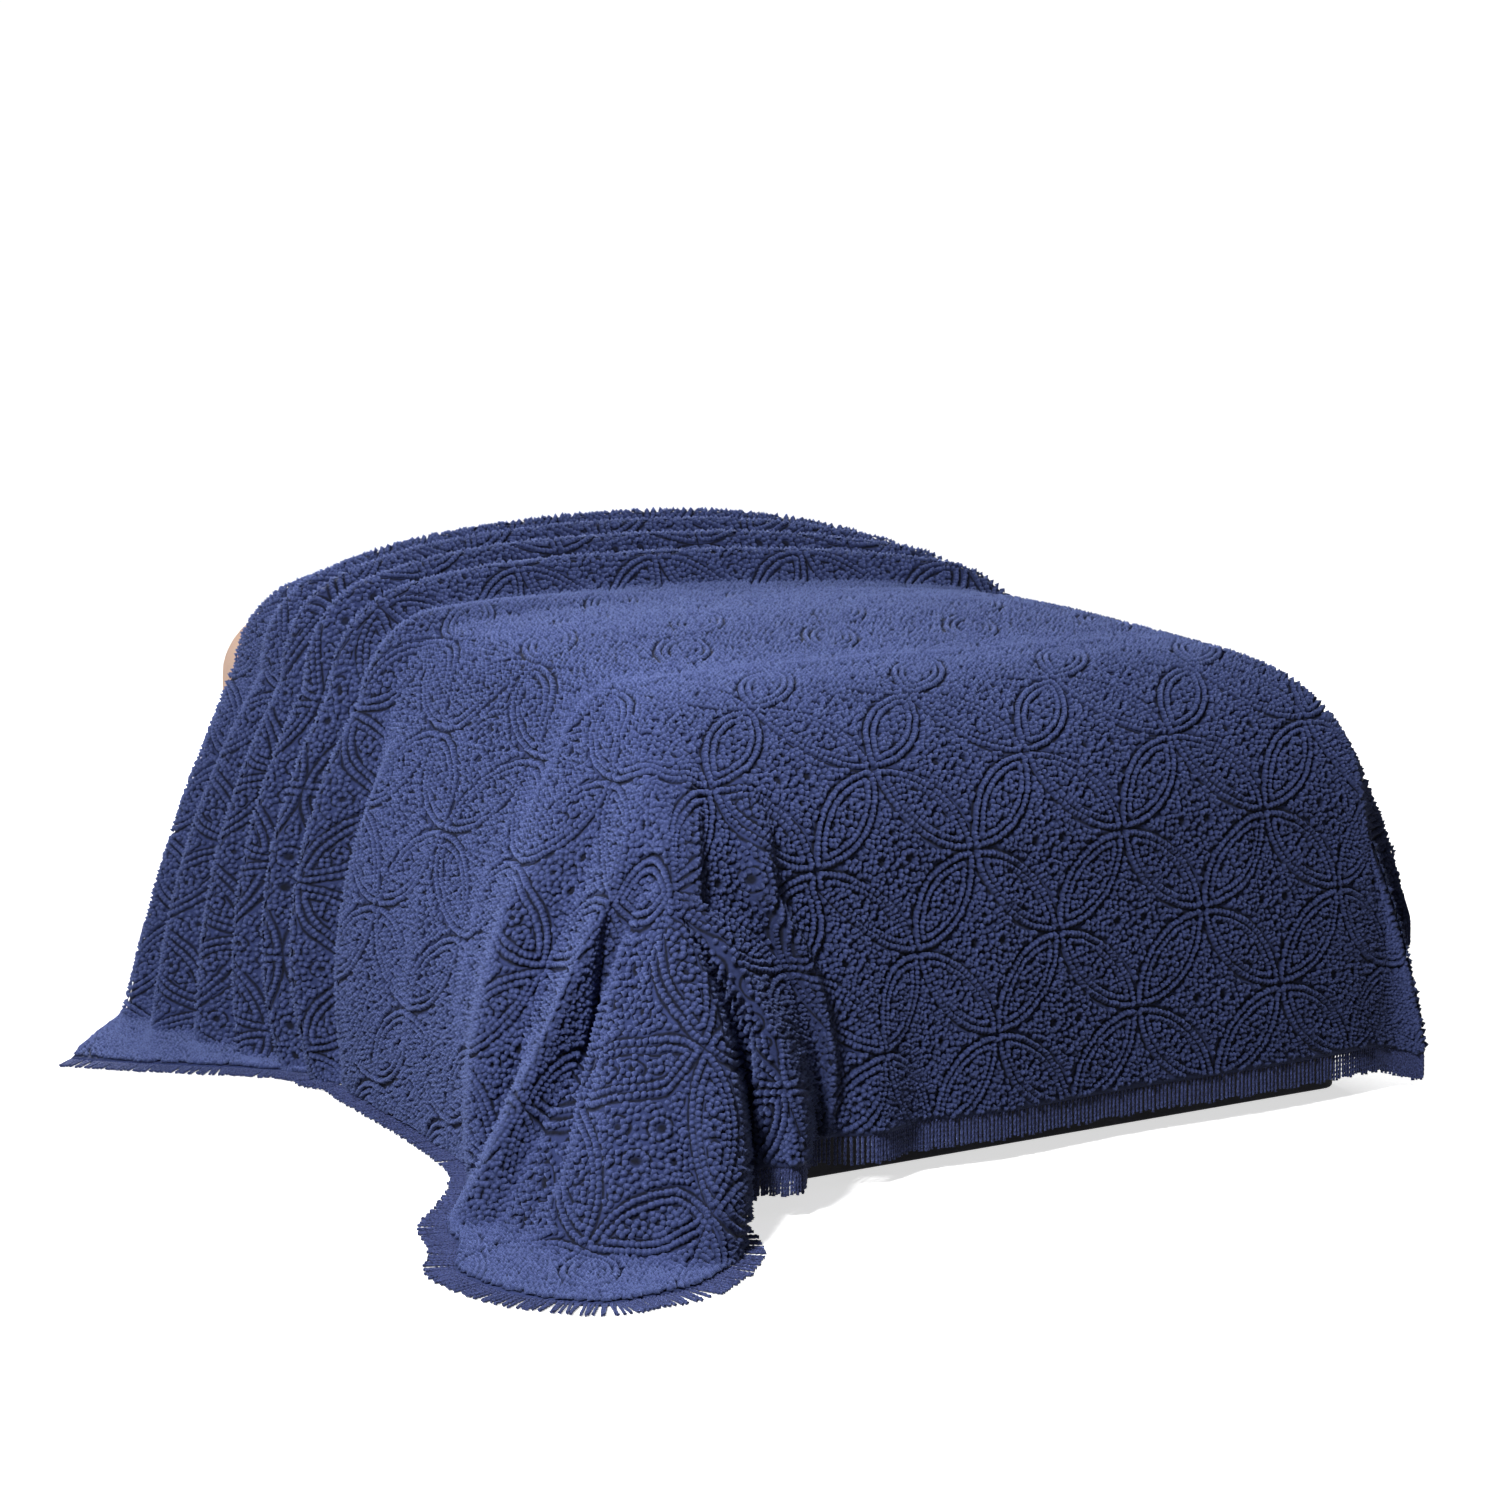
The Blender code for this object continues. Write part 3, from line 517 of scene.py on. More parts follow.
def falling(place, share):
    """Where a point of the falling cloth lies, between the top of the drop and the hem."""
    edge = over_bed(*top_of_drop(place))
    stations = column(PLEATS, "place")
    part = through(place, stations, column(PLEATS, "share"))
    found = []
    for axis, name in ((0, "x"), (1, "y")):
        middle = through(place, stations, column(PLEATS, "middle_" + name))
        hem = through(place, stations, column(PLEATS, "hem_" + name))
        found.append(
            edge[..., axis] * (share - part) * (share - 1) / part
            + middle * share * (share - 1) / (part * (part - 1))
            + hem * share * (share - part) / (1 - part)
        )
    floor = CLOTH_THICKNESS / 2
    height = edge[..., 2] - floor - FALL_RATE * drop_length(place) * share
    softness = 0.012
    lifted = floor + softness * np.logaddexp(0.0, height / softness)
    return np.stack([*found, np.where(share > 0, lifted, edge[..., 2])], -1)


across = steps((-EDGE_ACROSS, -FLAT_HALF_WIDTH, CELL), (-FLAT_HALF_WIDTH, FLAT_HALF_WIDTH, CELL),
               (FLAT_HALF_WIDTH, EDGE_ACROSS, CELL))
along = steps((-EDGE_FOOT, -FLAT_FOOT, CELL), (-FLAT_FOOT, HEAD_EDGE, CELL))
places_left = -(along[::-1] + EDGE_FOOT)
places_foot = CORNER_SPAN + EDGE_ACROSS + across
places_right = RIGHT_PLACE + EDGE_FOOT + along
turn_left = steps((0.0, CORNER_SPAN, 0.0085))
turn_right = FOOT_PLACE + steps((0.0, CORNER_SPAN, 0.014))
patches = []
s, t = np.meshgrid(across, along)
patches.append((over_bed(s, t), np.stack([s, t], -1), np.full(s.shape, 0.5)))
for places in (places_left, turn_left, places_foot, turn_right, places_right):
    place, share = np.meshgrid(places, np.linspace(0.0, 1.0, CELLS_DOWN + 1))
    flat = np.stack(flat_place(place, share), -1)
    patches.append((falling(place, share), flat, (1 - share) * drop_length(place)))
points = np.concatenate([patch[0].reshape(-1, 3) for patch in patches])
flats = np.concatenate([patch[1].reshape(-1, 2) for patch in patches])
hems = np.concatenate([patch[2].reshape(-1) for patch in patches])
hems = np.minimum(hems, HEAD_EDGE - flats[:, 1])
faces, start = [], 0
for grid, _, _ in patches:
    rows, columns = grid.shape[:2]
    faces.append(grid_faces(start + np.arange(rows * columns).reshape(rows, columns)))
    start += rows * columns
_, first, renamed = np.unique(
    np.round(points, 6), axis=0, return_index=True, return_inverse=True
)
points, flats, hems = points[first], flats[first], hems[first]
faces = renamed.reshape(-1)[np.concatenate(faces)]
ring = flats[faces]
ahead = np.roll(ring, -1, axis=1)
area = (ring[..., 0] * ahead[..., 1] - ring[..., 1] * ahead[..., 0]).sum(axis=1)
faces[area < 0] = faces[area < 0][:, ::-1]


def laid(across, cloth):
    """Where a point of the flat cloth lies, and how far it is from the hem."""
    aside = np.abs(across) - EDGE_ACROSS
    below = -EDGE_FOOT - cloth
    turn = np.arctan2(np.maximum(below, 0.0), np.maximum(aside, 0.0)) / (math.pi / 2)
    left = np.where(below > 0, turn * CORNER_SPAN, below)
    right = np.where(below > 0, FOOT_PLACE + (1 - turn) * CORNER_SPAN, RIGHT_PLACE - below)
    place = np.where(aside > 0, np.where(across < 0, left, right), CORNER_SPAN + EDGE_ACROSS + across)
    reach = np.hypot(np.maximum(aside, 0.0), np.maximum(below, 0.0))
    drop = drop_length(place)
    falls = ((aside > 0) | (below > 0))[..., None]
    found = np.where(falls, falling(place, np.minimum(reach / drop, 1.0)), over_bed(across, cloth))
    hem = np.where(falls[..., 0], drop - reach, 0.5)
    return found, np.minimum(hem, HEAD_EDGE - cloth)


def waviness(u, v):
    """The small unevenness of thick cloth, as a height over its smooth shape."""
    wave = np.sin(7.1 * u + 2.3 * v + 1.0) * np.sin(5.3 * v - 1.9 * u + 0.4)
    dimple = np.sin(23.0 * u + 9.0 * v) * np.sin(19.0 * v - 11.0 * u + 2.0)
    height = 0.0016 * wave + 0.0009 * dimple
    for crease in CREASES:
        run = np.array([crease.end_u - crease.start_u, crease.end_v - crease.start_v])
        length = float(np.hypot(*run))
        run = run / length
        along = ((u - crease.start_u) * run[0] + (v - crease.start_v) * run[1]) / length
        off = (v - crease.start_v) * run[0] - (u - crease.start_u) * run[1]
        fade = np.clip(along * (1 - along) * 4, 0.0, 1.0) ** 0.7 * (along > 0) * (along < 1)
        height = height + crease.height * fade * np.exp(-((off / crease.width) ** 2))
    return height


def facing_of(points, faces):
    """The way that the sheet faces at each of its points."""
    corners = points[faces]
    turned = np.cross(corners[:, 2] - corners[:, 0], corners[:, 3] - corners[:, 1])
    found = np.zeros_like(points)
    for k in range(4):
        np.add.at(found, faces[:, k], turned)
    return found / np.maximum(np.linalg.norm(found, axis=1, keepdims=True), 1e-12)


facing = facing_of(points, faces)
points = points + facing * waviness(*flats.T)[:, None]
points[:, 2] = np.maximum(points[:, 2], CLOTH_THICKNESS / 2)
facing = facing_of(points, faces)
upper = points + facing * CLOTH_THICKNESS / 2
lower = points - facing * CLOTH_THICKNESS / 2
upper[:, 2] = np.maximum(upper[:, 2], CLOTH_THICKNESS)
lower[:, 2] = np.maximum(lower[:, 2], 0.0)
count = len(points)
edges = {}
for face in faces.tolist():
    for a, b in zip(face, face[1:] + face[:1]):
        if a != b and edges.pop((b, a), None) is None:
            edges[(a, b)] = True
rim = [[b, a, a + count, b + count] for a, b in edges]
whole = [[v for k, v in enumerate(f) if v != f[k - 1]] for f in faces.tolist()]
whole = [f for f in whole if len(f) > 2]
shell = whole + [[v + count for v in reversed(f)] for f in whole] + rim

# The face is pile and the underside its plain ground cloth. The pile's rows are worked
# out on the flat cloth: rings of 0.334 m cross their neighbours through each other's
# flanks, so that every overlap is a pointed petal and every ring's middle a hollow diamond.
RING_WIDTH = 0.334
RING_MIDDLE = (-0.152, -0.970)
RING_TURN = 0.015
# The deepest pile colour is painted shade, for the grooves and the feet of the tufts; the tip colour is a painted
# highlight on the tufts' tips.
PILE_PAINTED_SHADE = (0.001, 0.002, 0.008)
PILE_FACE = (0.026, 0.038, 0.122)
PILE_PAINTED_HIGHLIGHT = (0.086, 0.112, 0.292)
GROUND = (0.030, 0.038, 0.125)
Flower = namedtuple("Flower", "across along eye rim")
PETAL_FLOWERS = (
    Flower(0.0, 0.000, 0.0050, 0.0150),
    Flower(0.0, 0.031, 0.0036, 0.0125),
    Flower(0.0, 0.057, 0.0024, 0.0090),
)
DIAMOND_FLOWERS = (
    Flower(0.0300, 0.000, 0.0075, 0.0200),
    Flower(0.0000, 0.048, 0.0052, 0.0160),
    Flower(0.0830, 0.000, 0.0038, 0.0110),
    Flower(0.0000, 0.083, 0.0020, 0.0090),
    Flower(0.0480, 0.033, 0.0022, 0.0080),
)


def fading(tree, value, near, far, at_near=1.0, at_far=0.0):
    """Smoothly from one value at near to another at far."""
    node = tree.nodes.new("ShaderNodeMapRange")
    node.interpolation_type = "SMOOTHSTEP"
    for name, number in (("From Min", near), ("From Max", far), ("To Min", at_near),
                         ("To Max", at_far)):
        node.inputs[name].default_value = number
    tree.links.new(value, node.inputs["Value"])
    return node.outputs["Result"]


def groove(tree, value, middle, half):
    offset = calc(tree, "ABSOLUTE", calc(tree, "SUBTRACT", value, middle))
    return fading(tree, offset, half * 0.15, half)


def away_from(tree, first, second, place):
    a = calc(tree, "SUBTRACT", first, place[0])
    b = calc(tree, "SUBTRACT", second, place[1])
    return calc(tree, "SQRT", calc(tree, "ADD", calc(tree, "MULTIPLY", a, a), calc(tree, "MULTIPLY", b, b)))


def flower_grooves(tree, across, along, flowers):
    """The eyes of the little round flowers and the grooves about them."""
    found = None
    for flower in flowers:
        distance = away_from(tree, across, along, (flower.across, flower.along))
        eye = fading(tree, distance, flower.eye * 0.6, flower.eye * 1.45)
        around = groove(tree, distance, flower.rim, 0.0036)
        both = calc(tree, "MAXIMUM", eye, around)
        found = both if found is None else calc(tree, "MAXIMUM", found, both)
    return found


def ring_tufting():
    """A group that gives the pile's height and the depth of its grooves on the flat cloth."""
    group = bpy.data.node_groups.new("ring tufting", "ShaderNodeTree")
    group.interface.new_socket("Cloth", in_out="INPUT", socket_type="NodeSocketVector")
    group.interface.new_socket("Hem", in_out="INPUT", socket_type="NodeSocketFloat")
    group.interface.new_socket("Height", in_out="OUTPUT", socket_type="NodeSocketFloat")
    group.interface.new_socket("Groove", in_out="OUTPUT", socket_type="NodeSocketFloat")
    group.interface.new_socket("Tuft", in_out="OUTPUT", socket_type="NodeSocketFloat")
    entry = group.nodes.new("NodeGroupInput")
    leave = group.nodes.new("NodeGroupOutput")
    cloth = entry.outputs["Cloth"]
    drift = speckle(group, cloth, 21.0, 2.0)
    other = speckle(group, cloth, 17.0, 2.0)
    split = group.nodes.new("ShaderNodeSeparateXYZ")
    group.links.new(cloth, split.inputs[0])
    x = calc(group, "MULTIPLY_ADD", drift, 0.010, split.outputs["X"])
    y = calc(group, "MULTIPLY_ADD", other, 0.010, split.outputs["Y"])
    x = calc(group, "SUBTRACT", x, RING_MIDDLE[0] + 0.005)
    y = calc(group, "SUBTRACT", y, RING_MIDDLE[1] + 0.005)
    eighth = math.pi / 4 + RING_TURN
    a = calc(group, "MULTIPLY_ADD", x, math.cos(eighth), calc(group, "MULTIPLY", y, math.sin(eighth)))
    b = calc(group, "MULTIPLY_ADD", x, math.sin(eighth), calc(group, "MULTIPLY", y, -math.cos(eighth)))
    pitch = RING_WIDTH / math.sqrt(2)
    a = calc(group, "WRAP", a, pitch / 2, -pitch / 2)
    b = calc(group, "WRAP", b, pitch / 2, -pitch / 2)
    far = calc(group, "MAXIMUM", calc(group, "ABSOLUTE", a), calc(group, "ABSOLUTE", b))
    near = calc(group, "MINIMUM", calc(group, "ABSOLUTE", a), calc(group, "ABSOLUTE", b))
    inside = calc(group, "SUBTRACT", RING_WIDTH / 2, away_from(group, far, near, (pitch, 0.0)))
    lines = groove(group, inside, -0.001, 0.0045)
    for middle in (0.0130, 0.0265):
        lines = calc(group, "MAXIMUM", lines, groove(group, inside, middle, 0.0042))
    core = calc(group, "SUBTRACT", pitch / 2, far)
    petal = flower_grooves(group, core, near, PETAL_FLOWERS)
    petal = calc(group, "MULTIPLY", petal, fading(group, inside, 0.024, 0.030, 0.0, 1.0))
    half = math.sqrt(0.5)
    level = calc(group, "ABSOLUTE", calc(group, "MULTIPLY", calc(group, "ADD", a, b), half))
    upright = calc(group, "ABSOLUTE", calc(group, "MULTIPLY", calc(group, "SUBTRACT", a, b), half))
    diamond = flower_grooves(group, level, upright, DIAMOND_FLOWERS)
    diamond = calc(group, "MULTIPLY", diamond, fading(group, inside, -0.008, -0.004))
    depth = calc(group, "MAXIMUM", lines, calc(group, "MAXIMUM", petal, diamond))
    plain = fading(group, entry.outputs["Hem"], 0.010, 0.018, 0.0, 1.0)
    depth = calc(group, "MULTIPLY", depth, plain)
    cells = group.nodes.new("ShaderNodeTexVoronoi")
    cells.feature = "SMOOTH_F1"
    cells.inputs["Scale"].default_value = 210.0
    cells.inputs["Smoothness"].default_value = 0.6
    group.links.new(cloth, cells.inputs["Vector"])
    grain = speckle(group, cloth, 420.0, 2.0, 0.6)
    tuft = calc(group, "MULTIPLY_ADD", cells.outputs["Distance"], -0.9, calc(group, "MULTIPLY_ADD", grain, 0.6, 0.55))
    ridge = calc(group, "SUBTRACT", 1.0, depth)
    height = calc(group, "MULTIPLY_ADD", tuft, 0.42, calc(group, "MULTIPLY", ridge, 0.75))
    group.links.new(height, leave.inputs["Height"])
    group.links.new(depth, leave.inputs["Groove"])
    group.links.new(tuft, leave.inputs["Tuft"])
    return group


pile, tree, shader = cloth_material("navy chenille pile", 0.95, 0.12, (0.42, 0.52, 1.0))
tufting = tree.nodes.new("ShaderNodeGroup")
tufting.node_tree = ring_tufting()
on_cloth = tree.nodes.new("ShaderNodeUVMap")
on_cloth.uv_map = "cloth"
hem = tree.nodes.new("ShaderNodeAttribute")
hem.attribute_name = "hem"
tree.links.new(on_cloth.outputs["UV"], tufting.inputs["Cloth"])
tree.links.new(hem.outputs["Fac"], tufting.inputs["Hem"])
worn = speckle(tree, on_cloth.outputs["UV"], 3.5, 3.0)
# Painted shade: the sheet under the tufts runs from the deepest pile colour in its grooves and between the tuft cells
# to the face colour on the cells, so that it reads as the shade between the tufts. The worn noise is the cloth's own
# uneven fading.
lift = calc(tree, "MULTIPLY_ADD", tufting.outputs["Groove"], -0.62, 0.62)
lift = calc(tree, "ADD", lift, calc(tree, "MULTIPLY", tufting.outputs["Tuft"], 0.22))
lift = calc(tree, "ADD", lift, calc(tree, "MULTIPLY", worn, 0.12))
tree.links.new(
    shades(tree, lift, (0.10, PILE_PAINTED_SHADE), (0.95, PILE_FACE)), shader.inputs["Base Color"]
)
tree.links.new(relief(tree, tufting.outputs["Height"], 0.0020, 0.8), shader.inputs["Normal"])
ground, tree, shader = cloth_material("navy ground cloth", 0.88, 0.2, (0.5, 0.55, 0.9))
place = object_place(tree)
shader.inputs["Base Color"].default_value = (*GROUND, 1.0)
tree.links.new(relief(tree, woven(tree, WEAVE, place), 0.0005, 0.6), shader.inputs["Normal"])

spread = new_piece("chenille_bedspread", np.vstack([upper, lower]), shell, pile, ground)
mesh = spread.data
layer = mesh.uv_layers.new(name="cloth")
loops = np.empty(len(mesh.loops), np.int32)
mesh.loops.foreach_get("vertex_index", loops)
layer.data.foreach_set("uv", flats[loops % count].astype(np.float32).ravel())
attribute = mesh.attributes.new("hem", "FLOAT", "POINT")
attribute.data.foreach_set("value", np.tile(hems, 2).astype(np.float32))
slots = np.zeros(len(mesh.polygons), np.int32)
slots[len(whole):2 * len(whole)] = 1
mesh.polygons.foreach_set("material_index", slots)
mesh.update()
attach(spread, "root")
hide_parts("bedspread")


# Pile
# Tufts of soft cotton yarn punched through the ground cloth and fluffed out after washing,
# about 13 mm across and 10 mm apart. They stand side by side in rows along the rings, in
# circles about the little flowers, and close together in between.
TUFT_APART = 0.0100
TUFT_WIDTH = 0.0128
TUFT_HEIGHT = 0.0085
PLAIN_HEM = 0.007
PETAL_ROWS = (0.0062, 0.0196)
PETAL_INSIDE = 0.0300
DIAMOND_OUTSIDE = -0.0068
RING_PITCH = RING_WIDTH / math.sqrt(2)
luck = np.random.default_rng(11)


def circle_of(middle, radius, first=0.0):
    """Places evenly round a circle, a tuft's spacing apart."""
    number = max(3, round(2 * math.pi * radius / (TUFT_APART * 0.86)))
    turn = first + np.arange(number) / number * 2 * math.pi
    return [(middle[0] + radius * math.cos(t), middle[1] + radius * math.sin(t)) for t in turn]


def ring_tufts():
    """The tufts of one ring's middle and of two of its petals, on the flat cloth."""
    half = RING_PITCH / 2
    placed, eyes = [], []
    for inside in PETAL_ROWS:
        radius = RING_WIDTH / 2 - inside
        reach = math.acos(half / radius)
        number = round(2 * reach * radius / (TUFT_APART * 0.90))
        for t in (np.arange(number) + 0.5) / number * 2 * reach - reach:
            run, rise = radius * math.cos(t), radius * math.sin(t)
            placed += [(run, rise), (RING_PITCH - run, rise), (rise, run), (rise, RING_PITCH - run)]
    for flower in PETAL_FLOWERS:
        for side in (1, -1) if flower.along else (1,):
            for middle in ((half, side * flower.along), (side * flower.along, half)):
                eyes.append((*middle, flower.eye))
                placed += circle_of(middle, (flower.eye + flower.rim) / 2)
    turned = math.sqrt(0.5)
    for flower in DIAMOND_FLOWERS:
        signs = {(a, b) for a in (1, -1) for b in (1, -1)}
        for level, upright in {(flower.across * a, flower.along * b) for a, b in signs}:
            middle = ((level + upright) * turned, (level - upright) * turned)
            eyes.append((*middle, flower.eye))
            placed += circle_of(middle, (flower.eye + flower.rim) / 2, 0.3)
    placed = np.array(placed)
    eyes = np.array(eyes)
    for _ in range(9000):
        spot = luck.uniform(-half, half, 2)
        far, near = np.abs(spot).max(), np.abs(spot).min()
        inside = RING_WIDTH / 2 - math.hypot(RING_PITCH - far, near)
        if DIAMOND_OUTSIDE < inside < PETAL_INSIDE:
            continue
        off = (placed - spot + half) % RING_PITCH - half
        if np.hypot(*off.T).min() < TUFT_APART * 0.84:
            continue
        off = (eyes[:, :2] - spot + half) % RING_PITCH - half
        if (np.hypot(*off.T) < eyes[:, 2] + TUFT_APART * 0.42).any():
            continue
        placed = np.vstack([placed, spot])
    return placed


def tufted_cloth():
    """Every tuft's place on the flat cloth, from ring to ring over all of it."""
    eighth = math.pi / 4 + RING_TURN
    ring = ring_tufts()
    reach = range(-14, 15)
    steps_a, steps_b = (g.ravel() * RING_PITCH for g in np.meshgrid(reach, reach))
    a = (ring[:, None, 0] + steps_a).ravel()
    b = (ring[:, None, 1] + steps_b).ravel()
    x = RING_MIDDLE[0] + a * math.cos(eighth) + b * math.sin(eighth)
    y = RING_MIDDLE[1] + a * math.sin(eighth) - b * math.cos(eighth)
    x = x + luck.normal(0.0, 0.0006, x.shape)
    y = y + luck.normal(0.0, 0.0006, y.shape)
    near = (np.abs(x) < EDGE_ACROSS + 1.1) & (y > -EDGE_FOOT - FOOT_DROP) & (y < HEAD_EDGE)
    return x[near], y[near]


def tuft_tree():
    """Geometry Nodes that set a low soft cone on every point, turned to face as its cloth does."""
    group = bpy.data.node_groups.new("yarn tufts", "GeometryNodeTree")
    group.interface.new_socket("Geometry", in_out="INPUT", socket_type="NodeSocketGeometry")
    for name in ("Width", "Height"):
        group.interface.new_socket(name, in_out="INPUT", socket_type="NodeSocketFloat")
    group.interface.new_socket("Material", in_out="INPUT", socket_type="NodeSocketMaterial")
    group.interface.new_socket("Geometry", in_out="OUTPUT", socket_type="NodeSocketGeometry")
    links = group.links
    entry = group.nodes.new("NodeGroupInput")
    leave = group.nodes.new("NodeGroupOutput")
    half = group.nodes.new("ShaderNodeMath")
    half.operation = "MULTIPLY"
    half.inputs[1].default_value = 0.5
    links.new(entry.outputs["Width"], half.inputs[0])
    cone = group.nodes.new("GeometryNodeMeshCone")
    cone.fill_type = "NONE"
    cone.inputs["Vertices"].default_value = 6
    links.new(half.outputs[0], cone.inputs["Radius Bottom"])
    links.new(entry.outputs["Height"], cone.inputs["Depth"])
    tip = group.nodes.new("GeometryNodeStoreNamedAttribute")
    tip.data_type = "FLOAT"
    tip.domain = "POINT"
    tip.inputs["Name"].default_value = "tip"
    links.new(cone.outputs["Mesh"], tip.inputs["Geometry"])
    links.new(cone.outputs["Top"], tip.inputs["Value"])
    facing = group.nodes.new("GeometryNodeInputNamedAttribute")
    facing.data_type = "FLOAT_VECTOR"
    facing.inputs["Name"].default_value = "facing"
    upright = group.nodes.new("FunctionNodeAlignRotationToVector")
    upright.axis = "Z"
    links.new(facing.outputs["Attribute"], upright.inputs["Vector"])
    spin = group.nodes.new("FunctionNodeRandomValue")
    spin.data_type = "FLOAT_VECTOR"
    spin.inputs["Min"].default_value = (-0.25, -0.25, 0.0)
    spin.inputs["Max"].default_value = (0.25, 0.25, 6.28)
    spin.inputs["Seed"].default_value = 3
    turned = group.nodes.new("FunctionNodeRotateRotation")
    turned.rotation_space = "LOCAL"
    links.new(upright.outputs["Rotation"], turned.inputs["Rotation"])
    links.new(spin.outputs[0], turned.inputs["Rotate By"])
    size = group.nodes.new("FunctionNodeRandomValue")
    size.data_type = "FLOAT_VECTOR"
    size.inputs["Min"].default_value = (0.85, 0.85, 0.75)
    size.inputs["Max"].default_value = (1.15, 1.15, 1.25)
    size.inputs["Seed"].default_value = 5
    copies = group.nodes.new("GeometryNodeInstanceOnPoints")
    links.new(entry.outputs["Geometry"], copies.inputs["Points"])
    links.new(tip.outputs["Geometry"], copies.inputs["Instance"])
    links.new(turned.outputs["Rotation"], copies.inputs["Rotation"])
    links.new(size.outputs[0], copies.inputs["Scale"])
    real = group.nodes.new("GeometryNodeRealizeInstances")
    finish = group.nodes.new("GeometryNodeSetMaterial")
    links.new(copies.outputs["Instances"], real.inputs["Geometry"])
    links.new(real.outputs["Geometry"], finish.inputs["Geometry"])
    links.new(entry.outputs["Material"], finish.inputs["Material"])
    links.new(finish.outputs["Geometry"], leave.inputs["Geometry"])
    return group


def made_mesh(piece, tree, **values):
    """The piece with this tree applied, its inputs set by name."""
    modifier = piece.modifiers.new("made", "NODES")
    modifier.node_group = tree
    for item in tree.interface.items_tree:
        if item.in_out == "INPUT" and item.name in values:
            modifier[item.identifier] = values[item.name]
    graph = bpy.context.evaluated_depsgraph_get()
    mesh = bpy.data.meshes.new_from_object(piece.evaluated_get(graph))
    piece.modifiers.clear()
    piece.data = mesh
    places = np.empty(len(mesh.vertices) * 3, np.float32)
    mesh.vertices.foreach_get("co", places)
    places[2::3] = np.maximum(places[2::3], 0.0)
    mesh.vertices.foreach_set("co", places)
    mesh.shade_smooth()
    return piece


yarn, tree, shader = cloth_material("navy cotton yarn", 0.95, 0.45, (0.36, 0.48, 1.0))
place = object_place(tree)
tip = tree.nodes.new("ShaderNodeAttribute")
tip.attribute_name = "tip"
fibre = speckle(tree, place, 300.0, 3.0, 0.8)
clump = speckle(tree, place, 95.0, 2.0)
worn = speckle(tree, place, 3.5, 3.0)
# Painted shade and highlight: the tip attribute colours each tuft dark at its foot and light at its tip. The fibre,
# clump and worn noises are the yarn's own uneven tone.
lift = calc(tree, "MULTIPLY_ADD", tip.outputs["Fac"], 0.46, calc(tree, "MULTIPLY", fibre, 0.52))
lift = calc(tree, "MULTIPLY_ADD", clump, 0.26, lift)
lift = calc(tree, "MULTIPLY_ADD", worn, 0.12, lift)
tree.links.new(
    shades(tree, lift, (0.28, PILE_PAINTED_SHADE), (0.62, PILE_FACE), (1.05, PILE_PAINTED_HIGHLIGHT)),
    shader.inputs["Base Color"],
)
tree.links.new(relief(tree, fibre, 0.0030, 1.0), shader.inputs["Normal"])

tuft_u, tuft_v = tufted_cloth()
tuft_points, tuft_hem = laid(tuft_u, tuft_v)
kept = tuft_hem > PLAIN_HEM
tuft_u, tuft_v, tuft_points = tuft_u[kept], tuft_v[kept], tuft_points[kept]
apart = 0.002
run = laid(tuft_u + apart, tuft_v)[0] - laid(tuft_u - apart, tuft_v)[0]
rise = laid(tuft_u, tuft_v + apart)[0] - laid(tuft_u, tuft_v - apart)[0]
tuft_facing = np.cross(run, rise)
tuft_facing /= np.maximum(np.linalg.norm(tuft_facing, axis=1, keepdims=True), 1e-12)
raised = waviness(tuft_u, tuft_v) + CLOTH_THICKNESS / 2 + TUFT_HEIGHT / 2 - 0.0012
tuft_points = tuft_points + tuft_facing * raised[:, None]
tuft_points[:, 2] = np.maximum(tuft_points[:, 2], CLOTH_THICKNESS + TUFT_HEIGHT * 0.3)
TUFTS = tuft_tree()


def pile_on(name, chosen):
    """The tufts of one stretch of the cloth."""
    mesh = bpy.data.meshes.new(name)
    mesh.vertices.add(int(chosen.sum()))
    mesh.vertices.foreach_set("co", tuft_points[chosen].astype(np.float32).ravel())
    ways = mesh.attributes.new("facing", "FLOAT_VECTOR", "POINT")
    ways.data.foreach_set("vector", tuft_facing[chosen].astype(np.float32).ravel())
    piece = bpy.data.objects.new(name, mesh)
    bpy.context.scene.collection.objects.link(piece)
    made_mesh(piece, TUFTS, Width=TUFT_WIDTH, Height=TUFT_HEIGHT, Material=yarn)
    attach(piece, "root")
    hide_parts("bedspread")
    return piece


on_bed = (np.abs(tuft_u) < EDGE_ACROSS) & (tuft_v > -EDGE_FOOT)
on_left = ~on_bed & (tuft_u < -EDGE_ACROSS)
piles = [
    pile_on("pile_on_top", on_bed),
    pile_on("pile_on_left", on_left),
    pile_on("pile_on_foot_and_right", ~on_bed & ~on_left),
]


# Fringe
# Twisted cotton cords knotted through three of the bedspread's edges, about 5 cm long and
# 9 mm apart. They hang straight where the hem is clear of the floor and lie out on the
# floor elsewhere.
CORD_LENGTH = 0.052
CORD_PITCH = 0.0092
CORD_WIDTH = 0.0068
CORD_THICKNESS = 0.0044
CORD_TWIST = 360.0
CORD_PARTS = 14
CORD_COLOUR = (0.052, 0.070, 0.205)
CORD_DEEP = (0.005, 0.007, 0.030)

cord_cloth, tree, shader = cloth_material("navy twisted cord", 0.85, 0.45, (0.42, 0.52, 1.0))
place = object_place(tree)
fibre = speckle(tree, place, 350.0, 2.0)
tree.links.new(
    shades(tree, fibre, (0.32, CORD_DEEP), (0.68, CORD_COLOUR)), shader.inputs["Base Color"]
)
tree.links.new(relief(tree, fibre, 0.0008, 0.7), shader.inputs["Normal"])


